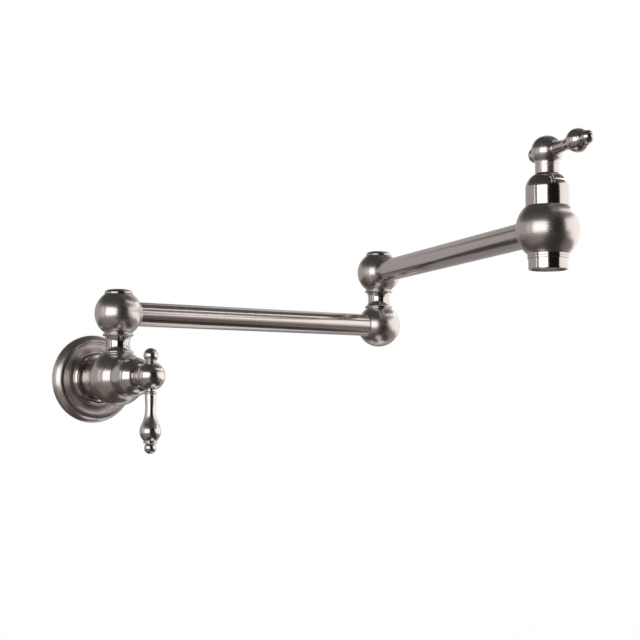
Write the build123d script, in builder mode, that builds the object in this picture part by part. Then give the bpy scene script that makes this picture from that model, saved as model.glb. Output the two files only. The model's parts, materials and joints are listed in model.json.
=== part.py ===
from build123d import *
from math import acos, cos, degrees, radians, sin, sqrt
import os

# A wall mounted pot filler: two hollow arms that fold over each other on swivel balls,
# a quarter-turn ceramic valve at the wall and another one over the outlet.
#
# Millimetres. The origin is on the inlet axis at the face of the wall. +Z is up,
# +X runs along the wall to the right and -Y points out of the wall into the room.

os.makedirs("parts", exist_ok=True)

# ---------------------------------------------------------------- layout
lower_arm_span = 255.0  # shoulder axis to elbow axis
upper_arm_span = 305.0  # elbow axis to outlet axis
upper_arm_heading = -105.0  # degrees from +X, seen from above
wall_offset = 45.0  # wall to the shoulder axis and to the wall valve's centre

# ---------------------------------------------------------------- clearances
turning_gap = 0.05  # radial, a shaft in its bore
seat_gap = 0.05  # radial, pieces that are screwed or pushed together
end_float = 0.1  # axial, between pieces that turn on each other
bore_overlap = 1.0  # how far a crossing bore starts inside the one it opens into
joint_line = 0.3  # the open line between two outer pieces that turn on each other
swing_room = 0.3  # radial, turning pieces that don't guide each other

# ---------------------------------------------------------------- arm tubes
tube_radius = 9.5
tube_wall = 1.2

# ---------------------------------------------------------------- valve bodies
valve_ball_radius = 22.0
valve_neck_radius = 16.5  # the wall valve's round neck
neck_line_width = 0.5  # the fine turned line where the neck meets the ball
neck_line_depth = 0.4
valve_top_flat_radius = 12.5  # where the shoulder spool stands
chamber_radius = 10.6  # the cartridge's bore
chamber_sink = 7.9  # valve centre to the chamber's floor
body_waterway_radius = 6.0
outlet_flat_radius = 14.1  # where the aerator is screwed in
outlet_socket_wall = 2.4  # between the outlet's chamber and the tube's end

# ---------------------------------------------------------------- ceramic cartridges
cartridge_thread_length = 8.0
cartridge_hex_flats = 22.0
cartridge_hex_height = 4.0
cover_thread_radius = 9.0  # the bonnet screws on here
cover_thread_start = 6.0  # above the bonnet seat
cover_thread_end = 10.0
nose_radius = 6.2
nose_top = 17.0  # above the bonnet seat
sleeve_wall = 1.5
disc_bore_radius = 6.9
disc_thickness = 2.8
disc_port_radius = 5.4
disc_web = 7.6  # solid band between a disc's two ports
disc_film = 0.02
lug_width = 3.0
seal_height = 3.2
seal_proud = 1.0  # how far the seal stands out of the cartridge
seal_bore_radius = 4.9
window_height = 2.3
window_width = 9.0
window_margin = 0.2  # above and below the windows

# ---------------------------------------------------------------- valve spindles
spindle_radius = 4.0
spindle_flange_height = 2.0
spindle_square = 5.6
tang_width = 3.0
tang_length = 11.0
tang_depth = 1.0
clip_thickness = 1.0
clip_radius = 5.6
clip_groove_radius = 3.2
clip_opening = 5.0
spindle_ring_heights = (20.0, 26.0)  # above the chamber's floor

# ---------------------------------------------------------------- bonnets
bonnet_radius = 15.0
bonnet_wall = 1.6
bonnet_skirt = 11.5
bonnet_dome = 10.6

# ---------------------------------------------------------------- handles
hub_neck_radius = 8.2
hub_ball_radius = 10.9
hub_blend_radius = 5.0  # the hollow curve between neck and ball
hub_rise = 37.9  # bonnet seat to the hub ball's centre
hub_crown = 6.0  # metal left over the spindle's bore
stud_radius = 2.9
stud_tip = 4.6  # hub centre to the studs' ends
lever_length = 58.0  # hub centre to the lever's tip
lever_root_radius = 3.3
lever_root_length = 1.0  # hub ball to the collar
lever_collar_radius = 4.7
lever_collar_width = 1.9
lever_grip_radius = 4.25
lever_grip_length = 15.0  # collar to where the bulb begins to swell
lever_bulb_radius = 8.05
lever_bulb_place = 41.3  # hub centre to the bulb's widest
lever_bulb_tail = 7.1  # the bulb's widest to its end
lever_bulb_end_radius = 4.8
lever_tip_ring_radius = 5.3
lever_tip_ring_width = 1.7
lever_tip_neck_radius = 3.2
lever_tip_ball_radius = 4.5
finial_flat_radius = 4.1
finial_neck_radius = 3.5
finial_ball_radius = 5.6
finial_length = 20.9  # hub centre to the finial's tip

# ---------------------------------------------------------------- swivel joints
swivel_ball_radius = 18.5
swivel_flat_radius = 11.0
spool_height = 16.9
spool_ring_radius = 12.0
spool_ring_height = 2.2
spool_foot_radius = 10.3
spool_foot_height = 0.5
spool_end_radius = 10.3  # the waist where it meets a ring
spool_waist_radius = 9.1
stem_radius = 7.0
stem_bore_radius = 4.0
stem_foot_length = 7.0  # screwed into the ball below
stem_waist_radius = 5.4
stem_waist_bottom = -5.6  # from the upper ball's centre
stem_waist_top = 4.6
stem_shoulder = 9.0  # the upper ball's pocket floor
stem_port_radius = 2.4
stem_bore_top = 1.5
stem_thread_radius = 4.0
stem_thread_top = 14.2
lower_ring_height = -9.6
upper_ring_height = 6.9
pocket_radius = 8.8
ball_waterway_radius = 5.0
tube_stop = 11.0  # ball centre to the end of the tube
port_floor = -6.0  # lower end of the elbow ball's upright bore
thrust_washer_radius = 9.2
thrust_washer_height = 1.3
nut_flats = 13.0
nut_height = 3.8
nut_washer_radius = 8.2
nut_washer_height = 1.1
cap_height = 4.0
cap_plug_height = 3.2
cap_plug_wall = 0.9
cap_hollow = 1.7
cap_crown_radius = 7.0
cap_chamfer = 0.5

# ---------------------------------------------------------------- seals
ring_section = 1.8  # O-ring cord
ring_groove_width = 2.2
ring_sides = 8  # flats round the cord, pressed into their groove

# ---------------------------------------------------------------- inlet and wall flange
inlet_thread_radius = 10.48  # G 1/2 female
inlet_thread_length = 13.0
inlet_relief_depth = 2.0  # undercut at the thread's end, where the washer lies
inlet_relief_radius = 11.2
inlet_shell = 3.0  # metal round the inlet thread
inlet_shell_length = 16.0
spigot_radius = 11.95
spigot_end = 29.0  # from the wall
spigot_step_play = 0.2
inlet_key_flats = 12.0  # the connector's hexagonal waterway
inlet_ring_offsets = (23.0, 26.6)  # from the wall
neck_start = 2.5  # from the wall to the back of the neck
neck_end_wall = 0.6  # spigot's end to the bottom of its bore
set_screw_radius = 2.5
set_screw_offset = 19.0
set_screw_sink = 0.4
set_screw_key = 2.5
set_screw_point_radius = 1.0
screw_groove_depth = 1.4
screw_point_play = 0.2
flange_radius = 35.0
flange_lift = 0.3  # rim to wall, taken up by the gasket
flange_edge_height = 1.2
flange_rim_height = 8.6
flange_rim_width = 7.2
flange_top = 9.6
flange_top_radius = 21.3
flange_top_web = 2.2
flange_shell = 1.8
cove_radius = 27.2
cove_step = 0.1  # rim roll's top down to the cove
cove_sag = 0.3
hollow_sag = 2.4  # the arched back of the shell
lock_ring_radius = 20.7
lock_ring_height = 3.6
lock_ring_belly = 1.2  # flange top to the ring's widest
lock_ring_undercut = 0.6
lock_ring_seam_width = 1.4
lock_ring_seam_depth = 1.0
gasket_thickness = 2.0
gasket_width = 4.8

# ---------------------------------------------------------------- outlet
aerator_thread_radius = 11.0
aerator_thread_length = 5.0
aerator_washer_thickness = 1.2
aerator_collar_height = 3.4
aerator_groove_offset = 1.4  # ball to the middle of the fine groove
aerator_groove_half = 0.3
aerator_groove_depth = 0.35
aerator_chamfer = 0.5
aerator_shell_radius = 13.5
aerator_length = 10.8  # below the ball
aerator_wall = 1.6
aerator_entry_radius = 9.0
aerator_recess = 5.0  # mouth to the straightener
screen_sink = 0.6  # ball flat to the screen
screen_thickness = 0.6
screen_opening = 1.9
screen_pitch = 2.8
cell_flats = 2.6
cell_wall = 0.5
cell_rows = 9


# ---------------------------------------------------------------- placing
def flat_height(ball_radius: float, flat_radius: float) -> float:
    """Distance from a ball's centre to a flat of the given radius."""
    return sqrt(ball_radius**2 - flat_radius**2)


def meridian(origin: Vector, radial: Vector, axial: Vector) -> Plane:
    """Plane through a turning axis: local x is the radius, local y runs along the axis."""
    return Plane(origin=origin, x_dir=radial, z_dir=radial.cross(axial))


def turning_axis(plane: Plane) -> Axis:
    """The axis that profiles drawn on a meridian plane are turned about."""
    return Axis(plane.origin, plane.y_dir)


def across(plane: Plane, height: float) -> Plane:
    """Plane square to a meridian plane's axis, at a height along it."""
    return Plane(origin=plane.origin + plane.y_dir * height, x_dir=plane.x_dir, z_dir=plane.y_dir)


bonnet_seat = flat_height(valve_ball_radius, bonnet_radius)
chamber_floor = -chamber_sink
ball_flat = flat_height(swivel_ball_radius, swivel_flat_radius)
stack_height = spool_height + joint_line + ball_flat
shoulder_height = flat_height(valve_ball_radius, valve_top_flat_radius) + stack_height
elbow_rise = ball_flat + stack_height

right = Vector(1, 0, 0)
up = Vector(0, 0, 1)
out = Vector(0, -1, 0)
arm_heading = radians(upper_arm_heading)
arm_direction = Vector(cos(arm_heading), sin(arm_heading), 0)

wall_centre = Vector(0, -wall_offset, 0)
shoulder_centre = wall_centre + up * shoulder_height
elbow_low_centre = shoulder_centre + right * lower_arm_span
elbow_high_centre = elbow_low_centre + up * elbow_rise
outlet_centre = elbow_high_centre + arm_direction * upper_arm_span

inlet_axis = meridian(Vector(0, 0, 0), right, out)
wall_head = meridian(wall_centre, right, out)
outlet_head = meridian(outlet_centre, arm_direction, up)
shoulder_column = meridian(shoulder_centre, right, up)
elbow_column = meridian(elbow_high_centre, right, up)
wall_lever_axis = meridian(wall_centre + out * (bonnet_seat + hub_rise), out, -up)
outlet_lever_axis = meridian(outlet_centre + up * (bonnet_seat + hub_rise), up, arm_direction)


# ---------------------------------------------------------------- cuts that repeat
def ring_groove(plane: Plane, shaft_radius: float, height: float):
    """Cut an O-ring groove round a shaft, in the part that is being made."""
    with BuildSketch(plane) as groove:
        with Locations((shaft_radius - ring_section / 2, height)):
            Rectangle(ring_section, ring_groove_width)
    revolve(groove.sketch, axis=turning_axis(plane), mode=Mode.SUBTRACT)


def round_bore(plane: Plane, radius: float, start: float, end: float):
    """Cut a plain round bore along a meridian plane's axis."""
    with BuildSketch(across(plane, start)) as bore:
        Circle(radius)
    extrude(bore.sketch, amount=end - start, mode=Mode.SUBTRACT)


def o_rings(name: str, plane: Plane, shaft_radius: float, heights):
    """A set of O-rings seated in their grooves, flush with the shaft."""
    with BuildPart() as rings:
        for height in heights:
            with BuildSketch(plane):
                with Locations((shaft_radius - ring_section / 2, height)):
                    RegularPolygon(ring_section / 2, ring_sides, major_radius=False,
                                   rotation=180 / ring_sides)
            revolve(axis=turning_axis(plane))
    rings.part.label = name
    export_step(rings.part, f"parts/{name}.step")


def flat_washer(name: str, plane: Plane, inner: float, outer: float, bottom: float, top: float):
    """A plain flat washer square to the plane's axis."""
    with BuildPart() as washer:
        with BuildSketch(across(plane, bottom)):
            Circle(outer)
            Circle(inner, mode=Mode.SUBTRACT)
        extrude(amount=top - bottom)
    washer.part.label = name
    export_step(washer.part, f"parts/{name}.step")


# ---------------------------------------------------------------- valve insides
thread_start = bonnet_seat - cartridge_thread_length
sleeve_radius = disc_bore_radius + sleeve_wall
fixed_disc_bottom = chamber_floor + seal_height
moving_disc_bottom = fixed_disc_bottom + disc_thickness + disc_film
moving_disc_top = moving_disc_bottom + disc_thickness
window_bottom = moving_disc_top + window_margin
spindle_flange_bottom = window_bottom + window_height + window_margin
cartridge_shoulder = spindle_flange_bottom + spindle_flange_height + end_float
clip_bottom = bonnet_seat + nose_top + end_float
disc_radius = disc_bore_radius - swing_room


def cartridge_body(side: str, head: Plane):
    """The brass cartridge: a sleeve for the discs, a thread, a hexagon and a nose."""
    with BuildPart() as body:
        with BuildSketch(head):
            with BuildLine():
                Polyline(
                    (0, chamber_floor + seal_proud),
                    (sleeve_radius, chamber_floor + seal_proud),
                    (sleeve_radius, thread_start),
                    (chamber_radius - seat_gap, thread_start),
                    (chamber_radius - seat_gap, bonnet_seat),
                    (cover_thread_radius, bonnet_seat + cartridge_hex_height),
                    (cover_thread_radius, bonnet_seat + cover_thread_end),
                    (nose_radius, bonnet_seat + cover_thread_end),
                    (nose_radius, bonnet_seat + nose_top),
                    (0, bonnet_seat + nose_top),
                    close=True,
                )
            make_face()
        revolve(axis=turning_axis(head))
        with BuildSketch(across(head, bonnet_seat)):
            RegularPolygon(cartridge_hex_flats / 2, 6, major_radius=False)
        extrude(amount=cartridge_hex_height)
        round_bore(head, disc_bore_radius, chamber_floor, cartridge_shoulder)
        round_bore(head, spindle_radius + turning_gap, cartridge_shoulder, bonnet_seat + nose_top)
        # slots that hold the fixed disc's lugs
        with BuildSketch(across(head, chamber_floor + seal_proud)):
            Rectangle(2 * chamber_radius, lug_width + 2 * seat_gap)
        extrude(amount=seal_height - seal_proud + disc_thickness, mode=Mode.SUBTRACT)
        # side windows for the water
        with BuildSketch(across(head, window_bottom)):
            Rectangle(window_width, 2 * chamber_radius)
        extrude(amount=window_height, mode=Mode.SUBTRACT)
    body.part.label = f"{side}_cartridge_body"
    export_step(body.part, f"parts/{side}_cartridge_body.step")


def fixed_disc(side: str, head: Plane):
    """The lower ceramic disc, with two ports and two lugs that key it to the sleeve."""
    with BuildPart() as disc:
        with BuildSketch(across(head, fixed_disc_bottom)):
            Circle(disc_bore_radius - seat_gap)
            Rectangle(2 * (sleeve_radius - seat_gap), lug_width)
        extrude(amount=disc_thickness)
        with BuildSketch(across(head, fixed_disc_bottom)):
            Circle(disc_port_radius)
            Rectangle(2 * disc_port_radius, disc_web, mode=Mode.SUBTRACT)
        extrude(amount=disc_thickness, mode=Mode.SUBTRACT)
    disc.part.label = f"{side}_fixed_disc"
    export_step(disc.part, f"parts/{side}_fixed_disc.step")


def moving_disc(side: str, head: Plane):
    """The upper ceramic disc, a quarter turn from open, with a slot for the spindle's tang."""
    with BuildPart() as disc:
        with BuildSketch(across(head, moving_disc_bottom)):
            Circle(disc_radius)
        extrude(amount=disc_thickness)
        with BuildSketch(across(head, moving_disc_bottom)):
            Circle(disc_port_radius)
            Rectangle(disc_web, 2 * disc_port_radius, mode=Mode.SUBTRACT)
        extrude(amount=disc_thickness, mode=Mode.SUBTRACT)
        with BuildSketch(across(head, moving_disc_top)):
            Rectangle(tang_width + 2 * seat_gap, tang_length + 2 * seat_gap)
        extrude(amount=-tang_depth, mode=Mode.SUBTRACT)
    disc.part.label = f"{side}_moving_disc"
    export_step(disc.part, f"parts/{side}_moving_disc.step")


def spindle(side: str, head: Plane):
    """The valve spindle: a tang, a thrust flange, a shaft with two grooves and a square."""
    with BuildPart() as shaft:
        with BuildSketch(across(head, spindle_flange_bottom)):
            Circle(disc_radius)
        extrude(amount=spindle_flange_height)
        with BuildSketch(across(head, spindle_flange_bottom)):
            Circle(spindle_radius)
        extrude(amount=clip_bottom + 2 * clip_thickness - spindle_flange_bottom)
        with BuildSketch(across(head, spindle_flange_bottom)):
            Rectangle(spindle_square, spindle_square)
        extrude(amount=spindle_top - spindle_flange_bottom)
        with BuildSketch(across(head, spindle_flange_bottom)):
            Rectangle(tang_width, tang_length)
        extrude(amount=moving_disc_top - tang_depth + seat_gap - spindle_flange_bottom)
        with BuildSketch(head):
            with Locations((clip_radius, clip_bottom + clip_thickness / 2)):
                Rectangle(2 * (clip_radius - clip_groove_radius), clip_thickness)
        revolve(axis=turning_axis(head), mode=Mode.SUBTRACT)
        for height in spindle_ring_heights:
            ring_groove(head, spindle_radius, chamber_floor + height)
    shaft.part.label = f"{side}_spindle"
    export_step(shaft.part, f"parts/{side}_spindle.step")


def spindle_clip(side: str, head: Plane):
    """The open spring clip that keeps the spindle in the cartridge."""
    with BuildPart() as clip:
        with BuildSketch(across(head, clip_bottom)):
            Circle(clip_radius)
            Circle(clip_groove_radius + seat_gap, mode=Mode.SUBTRACT)
            with Locations((clip_radius, 0)):
                Rectangle(2 * clip_radius, clip_opening, mode=Mode.SUBTRACT)
        extrude(amount=clip_thickness)
    clip.part.label = f"{side}_spindle_clip"
    export_step(clip.part, f"parts/{side}_spindle_clip.step")


# ---------------------------------------------------------------- valve outsides
bonnet_top = bonnet_seat + bonnet_skirt + bonnet_dome
hub_centre = bonnet_seat + hub_rise
hub_flat_lever = flat_height(hub_ball_radius, lever_root_radius)
hub_flat_finial = flat_height(hub_ball_radius, finial_flat_radius)
spindle_top = hub_centre + hub_ball_radius - hub_crown - end_float


def bonnet(side: str, head: Plane):
    """The bell-shaped cover, screwed on the cartridge and standing on the valve body."""
    dome_base = bonnet_seat + bonnet_skirt
    dome_width = bonnet_radius - hub_neck_radius
    inner_radius = bonnet_radius - bonnet_wall
    mouth_radius = nose_radius + swing_room
    # both sides of the dome are arcs about one centre, level with the dome's base
    dome_arc_radius = (dome_width**2 + bonnet_dome**2) / (2 * dome_width)
    inner_arc_radius = dome_arc_radius - bonnet_wall
    mouth_height = flat_height(inner_arc_radius, mouth_radius - (bonnet_radius - dome_arc_radius))
    with BuildPart() as cover:
        with BuildSketch(head):
            with BuildLine():
                Polyline((inner_radius, dome_base), (inner_radius, bonnet_seat),
                         (bonnet_radius, bonnet_seat), (bonnet_radius, dome_base))
                TangentArc((bonnet_radius, dome_base), (hub_neck_radius, bonnet_top), tangent=(0, 1))
                Polyline((hub_neck_radius, bonnet_top), (mouth_radius, bonnet_top),
                         (mouth_radius, dome_base + mouth_height))
                TangentArc((inner_radius, dome_base), (mouth_radius, dome_base + mouth_height),
                           tangent=(0, 1))
            make_face()
        revolve(axis=turning_axis(head))
        # the inner web that screws on the cartridge
        with BuildSketch(across(head, bonnet_seat + cover_thread_start)):
            Circle(bonnet_radius - bonnet_wall / 2)
            Circle(cover_thread_radius + seat_gap, mode=Mode.SUBTRACT)
        extrude(amount=cover_thread_end - cover_thread_start)
    cover.part.label = f"{side}_bonnet"
    export_step(cover.part, f"parts/{side}_bonnet.step")


def handle_hub(side: str, head: Plane, lever_axis: Plane):
    """The handle's ball on its round neck, bored for the spindle and for both studs."""
    neck_bottom = bonnet_top + joint_line
    # the blend's centre lies this far from the axis and from the ball's centre
    blend_offset = hub_neck_radius + hub_blend_radius
    blend_reach = hub_ball_radius + hub_blend_radius
    blend_drop = flat_height(blend_reach, blend_offset)
    blend_share = hub_ball_radius / blend_reach
    blend_end = (blend_offset * blend_share, hub_centre - blend_drop * blend_share)
    blend_angle = degrees(acos(blend_offset / blend_reach))
    with BuildPart() as hub:
        with BuildSketch(head):
            with BuildLine():
                neck_top = hub_centre - blend_drop
                Polyline((0, hub_centre + hub_ball_radius), (0, neck_bottom),
                         (hub_neck_radius, neck_bottom), (hub_neck_radius, neck_top))
                TangentArc((hub_neck_radius, neck_top), blend_end, tangent=(0, 1))
                CenterArc((0, hub_centre), hub_ball_radius, -blend_angle, 90 + blend_angle)
            make_face()
        revolve(axis=turning_axis(head))
        # the square bore for the spindle
        with BuildSketch(across(head, neck_bottom)):
            Rectangle(spindle_square + 2 * seat_gap, spindle_square + 2 * seat_gap)
        extrude(amount=spindle_top + end_float - neck_bottom, mode=Mode.SUBTRACT)
        # room for the shaft and its clip under the square
        round_bore(head, clip_radius + seat_gap, neck_bottom, neck_bottom + 2 * clip_thickness)
        # flats and threaded bores for the lever and the finial
        round_bore(lever_axis, hub_ball_radius, hub_flat_lever, hub_ball_radius)
        round_bore(lever_axis, hub_ball_radius, -hub_flat_finial, -hub_ball_radius)
        round_bore(lever_axis, stud_radius + seat_gap, -hub_ball_radius, hub_ball_radius)
    hub.part.label = f"{side}_handle_hub"
    export_step(hub.part, f"parts/{side}_handle_hub.step")


def lever(side: str, lever_axis: Plane):
    """The turned lever: stud, collar, slim grip, vase-shaped bulb, ring and tip ball."""
    collar_start = hub_ball_radius + lever_root_length
    collar_end = collar_start + lever_collar_width
    swell_start = collar_end + lever_grip_length
    bulb_end = lever_bulb_place + lever_bulb_tail
    ring_end = bulb_end + lever_tip_ring_width
    tip_centre = lever_length - lever_tip_ball_radius
    tip_neck = flat_height(lever_tip_ball_radius, lever_tip_neck_radius)
    tip_angle = degrees(acos(lever_tip_neck_radius / lever_tip_ball_radius))
    with BuildPart() as handle:
        with BuildSketch(lever_axis):
            with BuildLine():
                Polyline((0, lever_length), (0, stud_tip), (stud_radius, stud_tip),
                         (stud_radius, hub_flat_lever), (lever_root_radius, hub_flat_lever),
                         (lever_root_radius, hub_ball_radius))
                TangentArc((lever_root_radius, hub_ball_radius), (lever_grip_radius, collar_start),
                           tangent=(0, 1))
                ThreePointArc((lever_grip_radius, collar_start),
                              (lever_collar_radius, (collar_start + collar_end) / 2),
                              (lever_grip_radius, collar_end))
                Spline((lever_grip_radius, collar_end), (lever_grip_radius, swell_start),
                       ((lever_grip_radius + lever_bulb_radius) / 2, (swell_start + lever_bulb_place) / 2),
                       (lever_bulb_radius, lever_bulb_place), (lever_bulb_end_radius, bulb_end),
                       tangents=((0, 1), (-1, 1)))
                ThreePointArc((lever_bulb_end_radius, bulb_end),
                              (lever_tip_ring_radius, (bulb_end + ring_end) / 2),
                              (lever_bulb_end_radius, ring_end))
                Polyline((lever_bulb_end_radius, ring_end), (lever_tip_neck_radius, ring_end),
                         (lever_tip_neck_radius, tip_centre - tip_neck))
                CenterArc((0, tip_centre), lever_tip_ball_radius, -tip_angle, 90 + tip_angle)
            make_face()
        revolve(axis=turning_axis(lever_axis))
    handle.part.label = f"{side}_lever"
    export_step(handle.part, f"parts/{side}_lever.step")


def finial(side: str, lever_axis: Plane):
    """The small ball opposite the lever; its stud holds the hub on the spindle."""
    ball_centre = -(finial_length - finial_ball_radius)
    neck_end = ball_centre + flat_height(finial_ball_radius, finial_neck_radius)
    neck_angle = degrees(acos(finial_neck_radius / finial_ball_radius))
    with BuildPart() as knob:
        with BuildSketch(lever_axis):
            with BuildLine():
                Polyline((0, -finial_length), (0, -stud_tip), (stud_radius, -stud_tip),
                         (stud_radius, -hub_flat_finial), (finial_flat_radius, -hub_flat_finial))
                TangentArc((finial_neck_radius, neck_end), (finial_flat_radius, -hub_flat_finial),
                           tangent=(0, 1))
                CenterArc((0, ball_centre), finial_ball_radius, neck_angle, -90 - neck_angle)
            make_face()
        revolve(axis=turning_axis(lever_axis))
    knob.part.label = f"{side}_finial"
    export_step(knob.part, f"parts/{side}_finial.step")


for side, head, lever_axis in (
    ("wall", wall_head, wall_lever_axis),
    ("outlet", outlet_head, outlet_lever_axis),
):
    cartridge_body(side, head)
    flat_washer(f"{side}_cartridge_seal", head, seal_bore_radius, disc_bore_radius - seat_gap,
                chamber_floor, fixed_disc_bottom)
    fixed_disc(side, head)
    moving_disc(side, head)
    spindle(side, head)
    o_rings(f"{side}_spindle_o_rings", head, spindle_radius,
            [chamber_floor + height for height in spindle_ring_heights])
    spindle_clip(side, head)
    bonnet(side, head)
    handle_hub(side, head, lever_axis)
    lever(side, lever_axis)
    finial(side, lever_axis)

# ---------------------------------------------------------------- wall valve body
inlet_bore_end = inlet_thread_length + inlet_relief_depth
neck_back = neck_start - wall_offset
spigot_bore_end = spigot_end + neck_end_wall
spigot_step = inlet_shell_length + spigot_step_play
shell_radius = inlet_thread_radius + inlet_shell
valve_top_flat = flat_height(valve_ball_radius, valve_top_flat_radius)
ball_foot = -flat_height(valve_ball_radius, valve_neck_radius)
line_bottom = valve_neck_radius - neck_line_depth

with BuildPart() as wall_valve_body:
    with BuildSketch(wall_head):
        with BuildLine():
            neck_angle = degrees(acos(valve_neck_radius / valve_ball_radius))
            seat_angle = degrees(acos(bonnet_radius / valve_ball_radius))
            CenterArc((0, 0), valve_ball_radius, -neck_angle, neck_angle + seat_angle)
            Polyline((bonnet_radius, bonnet_seat), (0, bonnet_seat), (0, neck_back),
                     (valve_neck_radius, neck_back), (valve_neck_radius, ball_foot - neck_line_width),
                     (line_bottom, ball_foot - neck_line_width), (line_bottom, ball_foot),
                     (valve_neck_radius, ball_foot))
        make_face()
    revolve(axis=turning_axis(wall_head))
    # the cartridge's chamber, its waterway and the stepped bore for the inlet connector
    round_bore(wall_head, chamber_radius, chamber_floor, bonnet_seat)
    round_bore(wall_head, body_waterway_radius, neck_back, chamber_floor)
    round_bore(inlet_axis, spigot_radius + seat_gap, neck_start, spigot_bore_end)
    round_bore(inlet_axis, shell_radius + seat_gap, neck_start, spigot_step)
    # the flat and the threaded port for the shoulder stem
    with BuildSketch(Plane(wall_centre + up * valve_top_flat)):
        Circle(valve_ball_radius)
    extrude(amount=valve_ball_radius, mode=Mode.SUBTRACT)
    with BuildSketch(Plane(wall_centre)):
        Circle(stem_radius + seat_gap)
    extrude(amount=valve_ball_radius, mode=Mode.SUBTRACT)
    # the set screw's hole under the neck
    with BuildSketch(Plane(origin=out * set_screw_offset, x_dir=right, z_dir=-up)):
        Circle(set_screw_radius + seat_gap)
    extrude(amount=valve_ball_radius, mode=Mode.SUBTRACT)
wall_valve_body.part.label = "wall_valve_body"
export_step(wall_valve_body.part, "parts/wall_valve_body.step")

# ---------------------------------------------------------------- inlet
groove_bottom = spigot_radius - screw_groove_depth

with BuildPart() as inlet_connector:
    with BuildSketch(inlet_axis):
        with BuildLine():
            Polyline((0, 0), (shell_radius, 0), (shell_radius, inlet_shell_length),
                     (spigot_radius, inlet_shell_length), (spigot_radius, spigot_end), (0, spigot_end),
                     close=True)
        make_face()
    revolve(axis=turning_axis(inlet_axis))
    round_bore(inlet_axis, inlet_thread_radius, 0, inlet_thread_length)
    round_bore(inlet_axis, inlet_relief_radius, inlet_thread_length, inlet_bore_end)
    with BuildSketch(across(inlet_axis, inlet_bore_end)):
        RegularPolygon(inlet_key_flats / 2, 6, major_radius=False)
    extrude(amount=spigot_end - inlet_bore_end, mode=Mode.SUBTRACT)
    for offset in inlet_ring_offsets:
        ring_groove(inlet_axis, spigot_radius, offset)
    # the V groove for the set screw's point
    with BuildSketch(inlet_axis):
        with BuildLine():
            Polyline((groove_bottom, set_screw_offset),
                     (spigot_radius, set_screw_offset - screw_groove_depth),
                     (spigot_radius, set_screw_offset + screw_groove_depth), close=True)
        make_face()
    revolve(axis=turning_axis(inlet_axis), mode=Mode.SUBTRACT)
inlet_connector.part.label = "inlet_connector"
export_step(inlet_connector.part, "parts/inlet_connector.step")

o_rings("inlet_o_rings", inlet_axis, spigot_radius, inlet_ring_offsets)
flat_washer("inlet_seal_washer", inlet_axis, inlet_key_flats / 2 + 1, inlet_relief_radius - seat_gap,
            inlet_thread_length, inlet_bore_end)

screw_axis = meridian(out * set_screw_offset, right, -up)
screw_tip = groove_bottom + screw_point_play
screw_head = valve_neck_radius - set_screw_sink
point_end = spigot_radius + swing_room

with BuildPart() as neck_set_screw:
    with BuildSketch(screw_axis):
        with BuildLine():
            Polyline((0, screw_tip), (set_screw_point_radius, screw_tip + set_screw_point_radius),
                     (set_screw_point_radius, point_end),
                     (set_screw_radius, point_end + set_screw_radius - set_screw_point_radius),
                     (set_screw_radius, screw_head), (0, screw_head), close=True)
        make_face()
    revolve(axis=turning_axis(screw_axis))
    with BuildSketch(across(screw_axis, screw_head)):
        RegularPolygon(set_screw_key / 2, 6, major_radius=False)
    extrude(amount=-set_screw_radius, mode=Mode.SUBTRACT)
neck_set_screw.part.label = "neck_set_screw"
export_step(neck_set_screw.part, "parts/neck_set_screw.step")

# ---------------------------------------------------------------- wall flange
flange_bore = valve_neck_radius + seat_gap
rim_inner = flange_radius - flange_rim_width
rim_hollow = flange_radius - flange_shell
top_hollow = flange_top_radius - flange_shell / 2
cove_hollow = rim_hollow - gasket_width

with BuildPart() as wall_flange:
    with BuildSketch(inlet_axis):
        with BuildLine():
            Line((flange_radius, flange_lift), (flange_radius, flange_edge_height))
            EllipticalCenterArc((rim_inner, flange_edge_height), flange_rim_width,
                                flange_rim_height - flange_edge_height, start_angle=0, arc_size=90)
            Line((rim_inner, flange_rim_height), (cove_radius, flange_rim_height - cove_step))
            SagittaArc((cove_radius, flange_rim_height - cove_step), (flange_top_radius, flange_top),
                       cove_sag)
            Polyline((flange_top_radius, flange_top), (flange_bore, flange_top),
                     (flange_bore, flange_top - flange_top_web), (top_hollow, flange_top - flange_top_web))
            SagittaArc((top_hollow, flange_top - flange_top_web), (cove_hollow, gasket_thickness),
                       hollow_sag)
            Polyline((cove_hollow, gasket_thickness), (rim_hollow, gasket_thickness),
                     (rim_hollow, flange_lift), (flange_radius, flange_lift))
        make_face()
    revolve(axis=turning_axis(inlet_axis))
wall_flange.part.label = "wall_flange"
export_step(wall_flange.part, "parts/wall_flange.step")

flat_washer("flange_gasket", inlet_axis, cove_hollow, rim_hollow - seat_gap, 0, gasket_thickness)

with BuildPart() as flange_lock_ring:
    with BuildSketch(inlet_axis):
        with BuildLine():
            ring_top = flange_top + lock_ring_height
            belly = flange_top + lock_ring_belly
            seam_radius = flange_bore + lock_ring_seam_width
            foot_radius = lock_ring_radius - lock_ring_undercut
            Polyline((foot_radius, flange_top), (flange_bore, flange_top),
                     (flange_bore, ring_top - lock_ring_seam_depth),
                     (seam_radius, ring_top - lock_ring_seam_depth), (seam_radius, ring_top))
            EllipticalCenterArc((seam_radius, belly), lock_ring_radius - seam_radius, ring_top - belly,
                                start_angle=0, arc_size=90)
            EllipticalCenterArc((foot_radius, belly), lock_ring_undercut, lock_ring_belly,
                                start_angle=270, arc_size=90)
        make_face()
    revolve(axis=turning_axis(inlet_axis))
flange_lock_ring.part.label = "flange_lock_ring"
export_step(flange_lock_ring.part, "parts/flange_lock_ring.step")


# ---------------------------------------------------------------- swivel joints
spool_base = -stack_height  # seen from the upper ball's centre
spool_top = spool_base + spool_height
washer_recess = thrust_washer_height - joint_line + end_float
ball_waterway_start = stem_radius - bore_overlap
socket_radius = tube_radius + seat_gap


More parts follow.
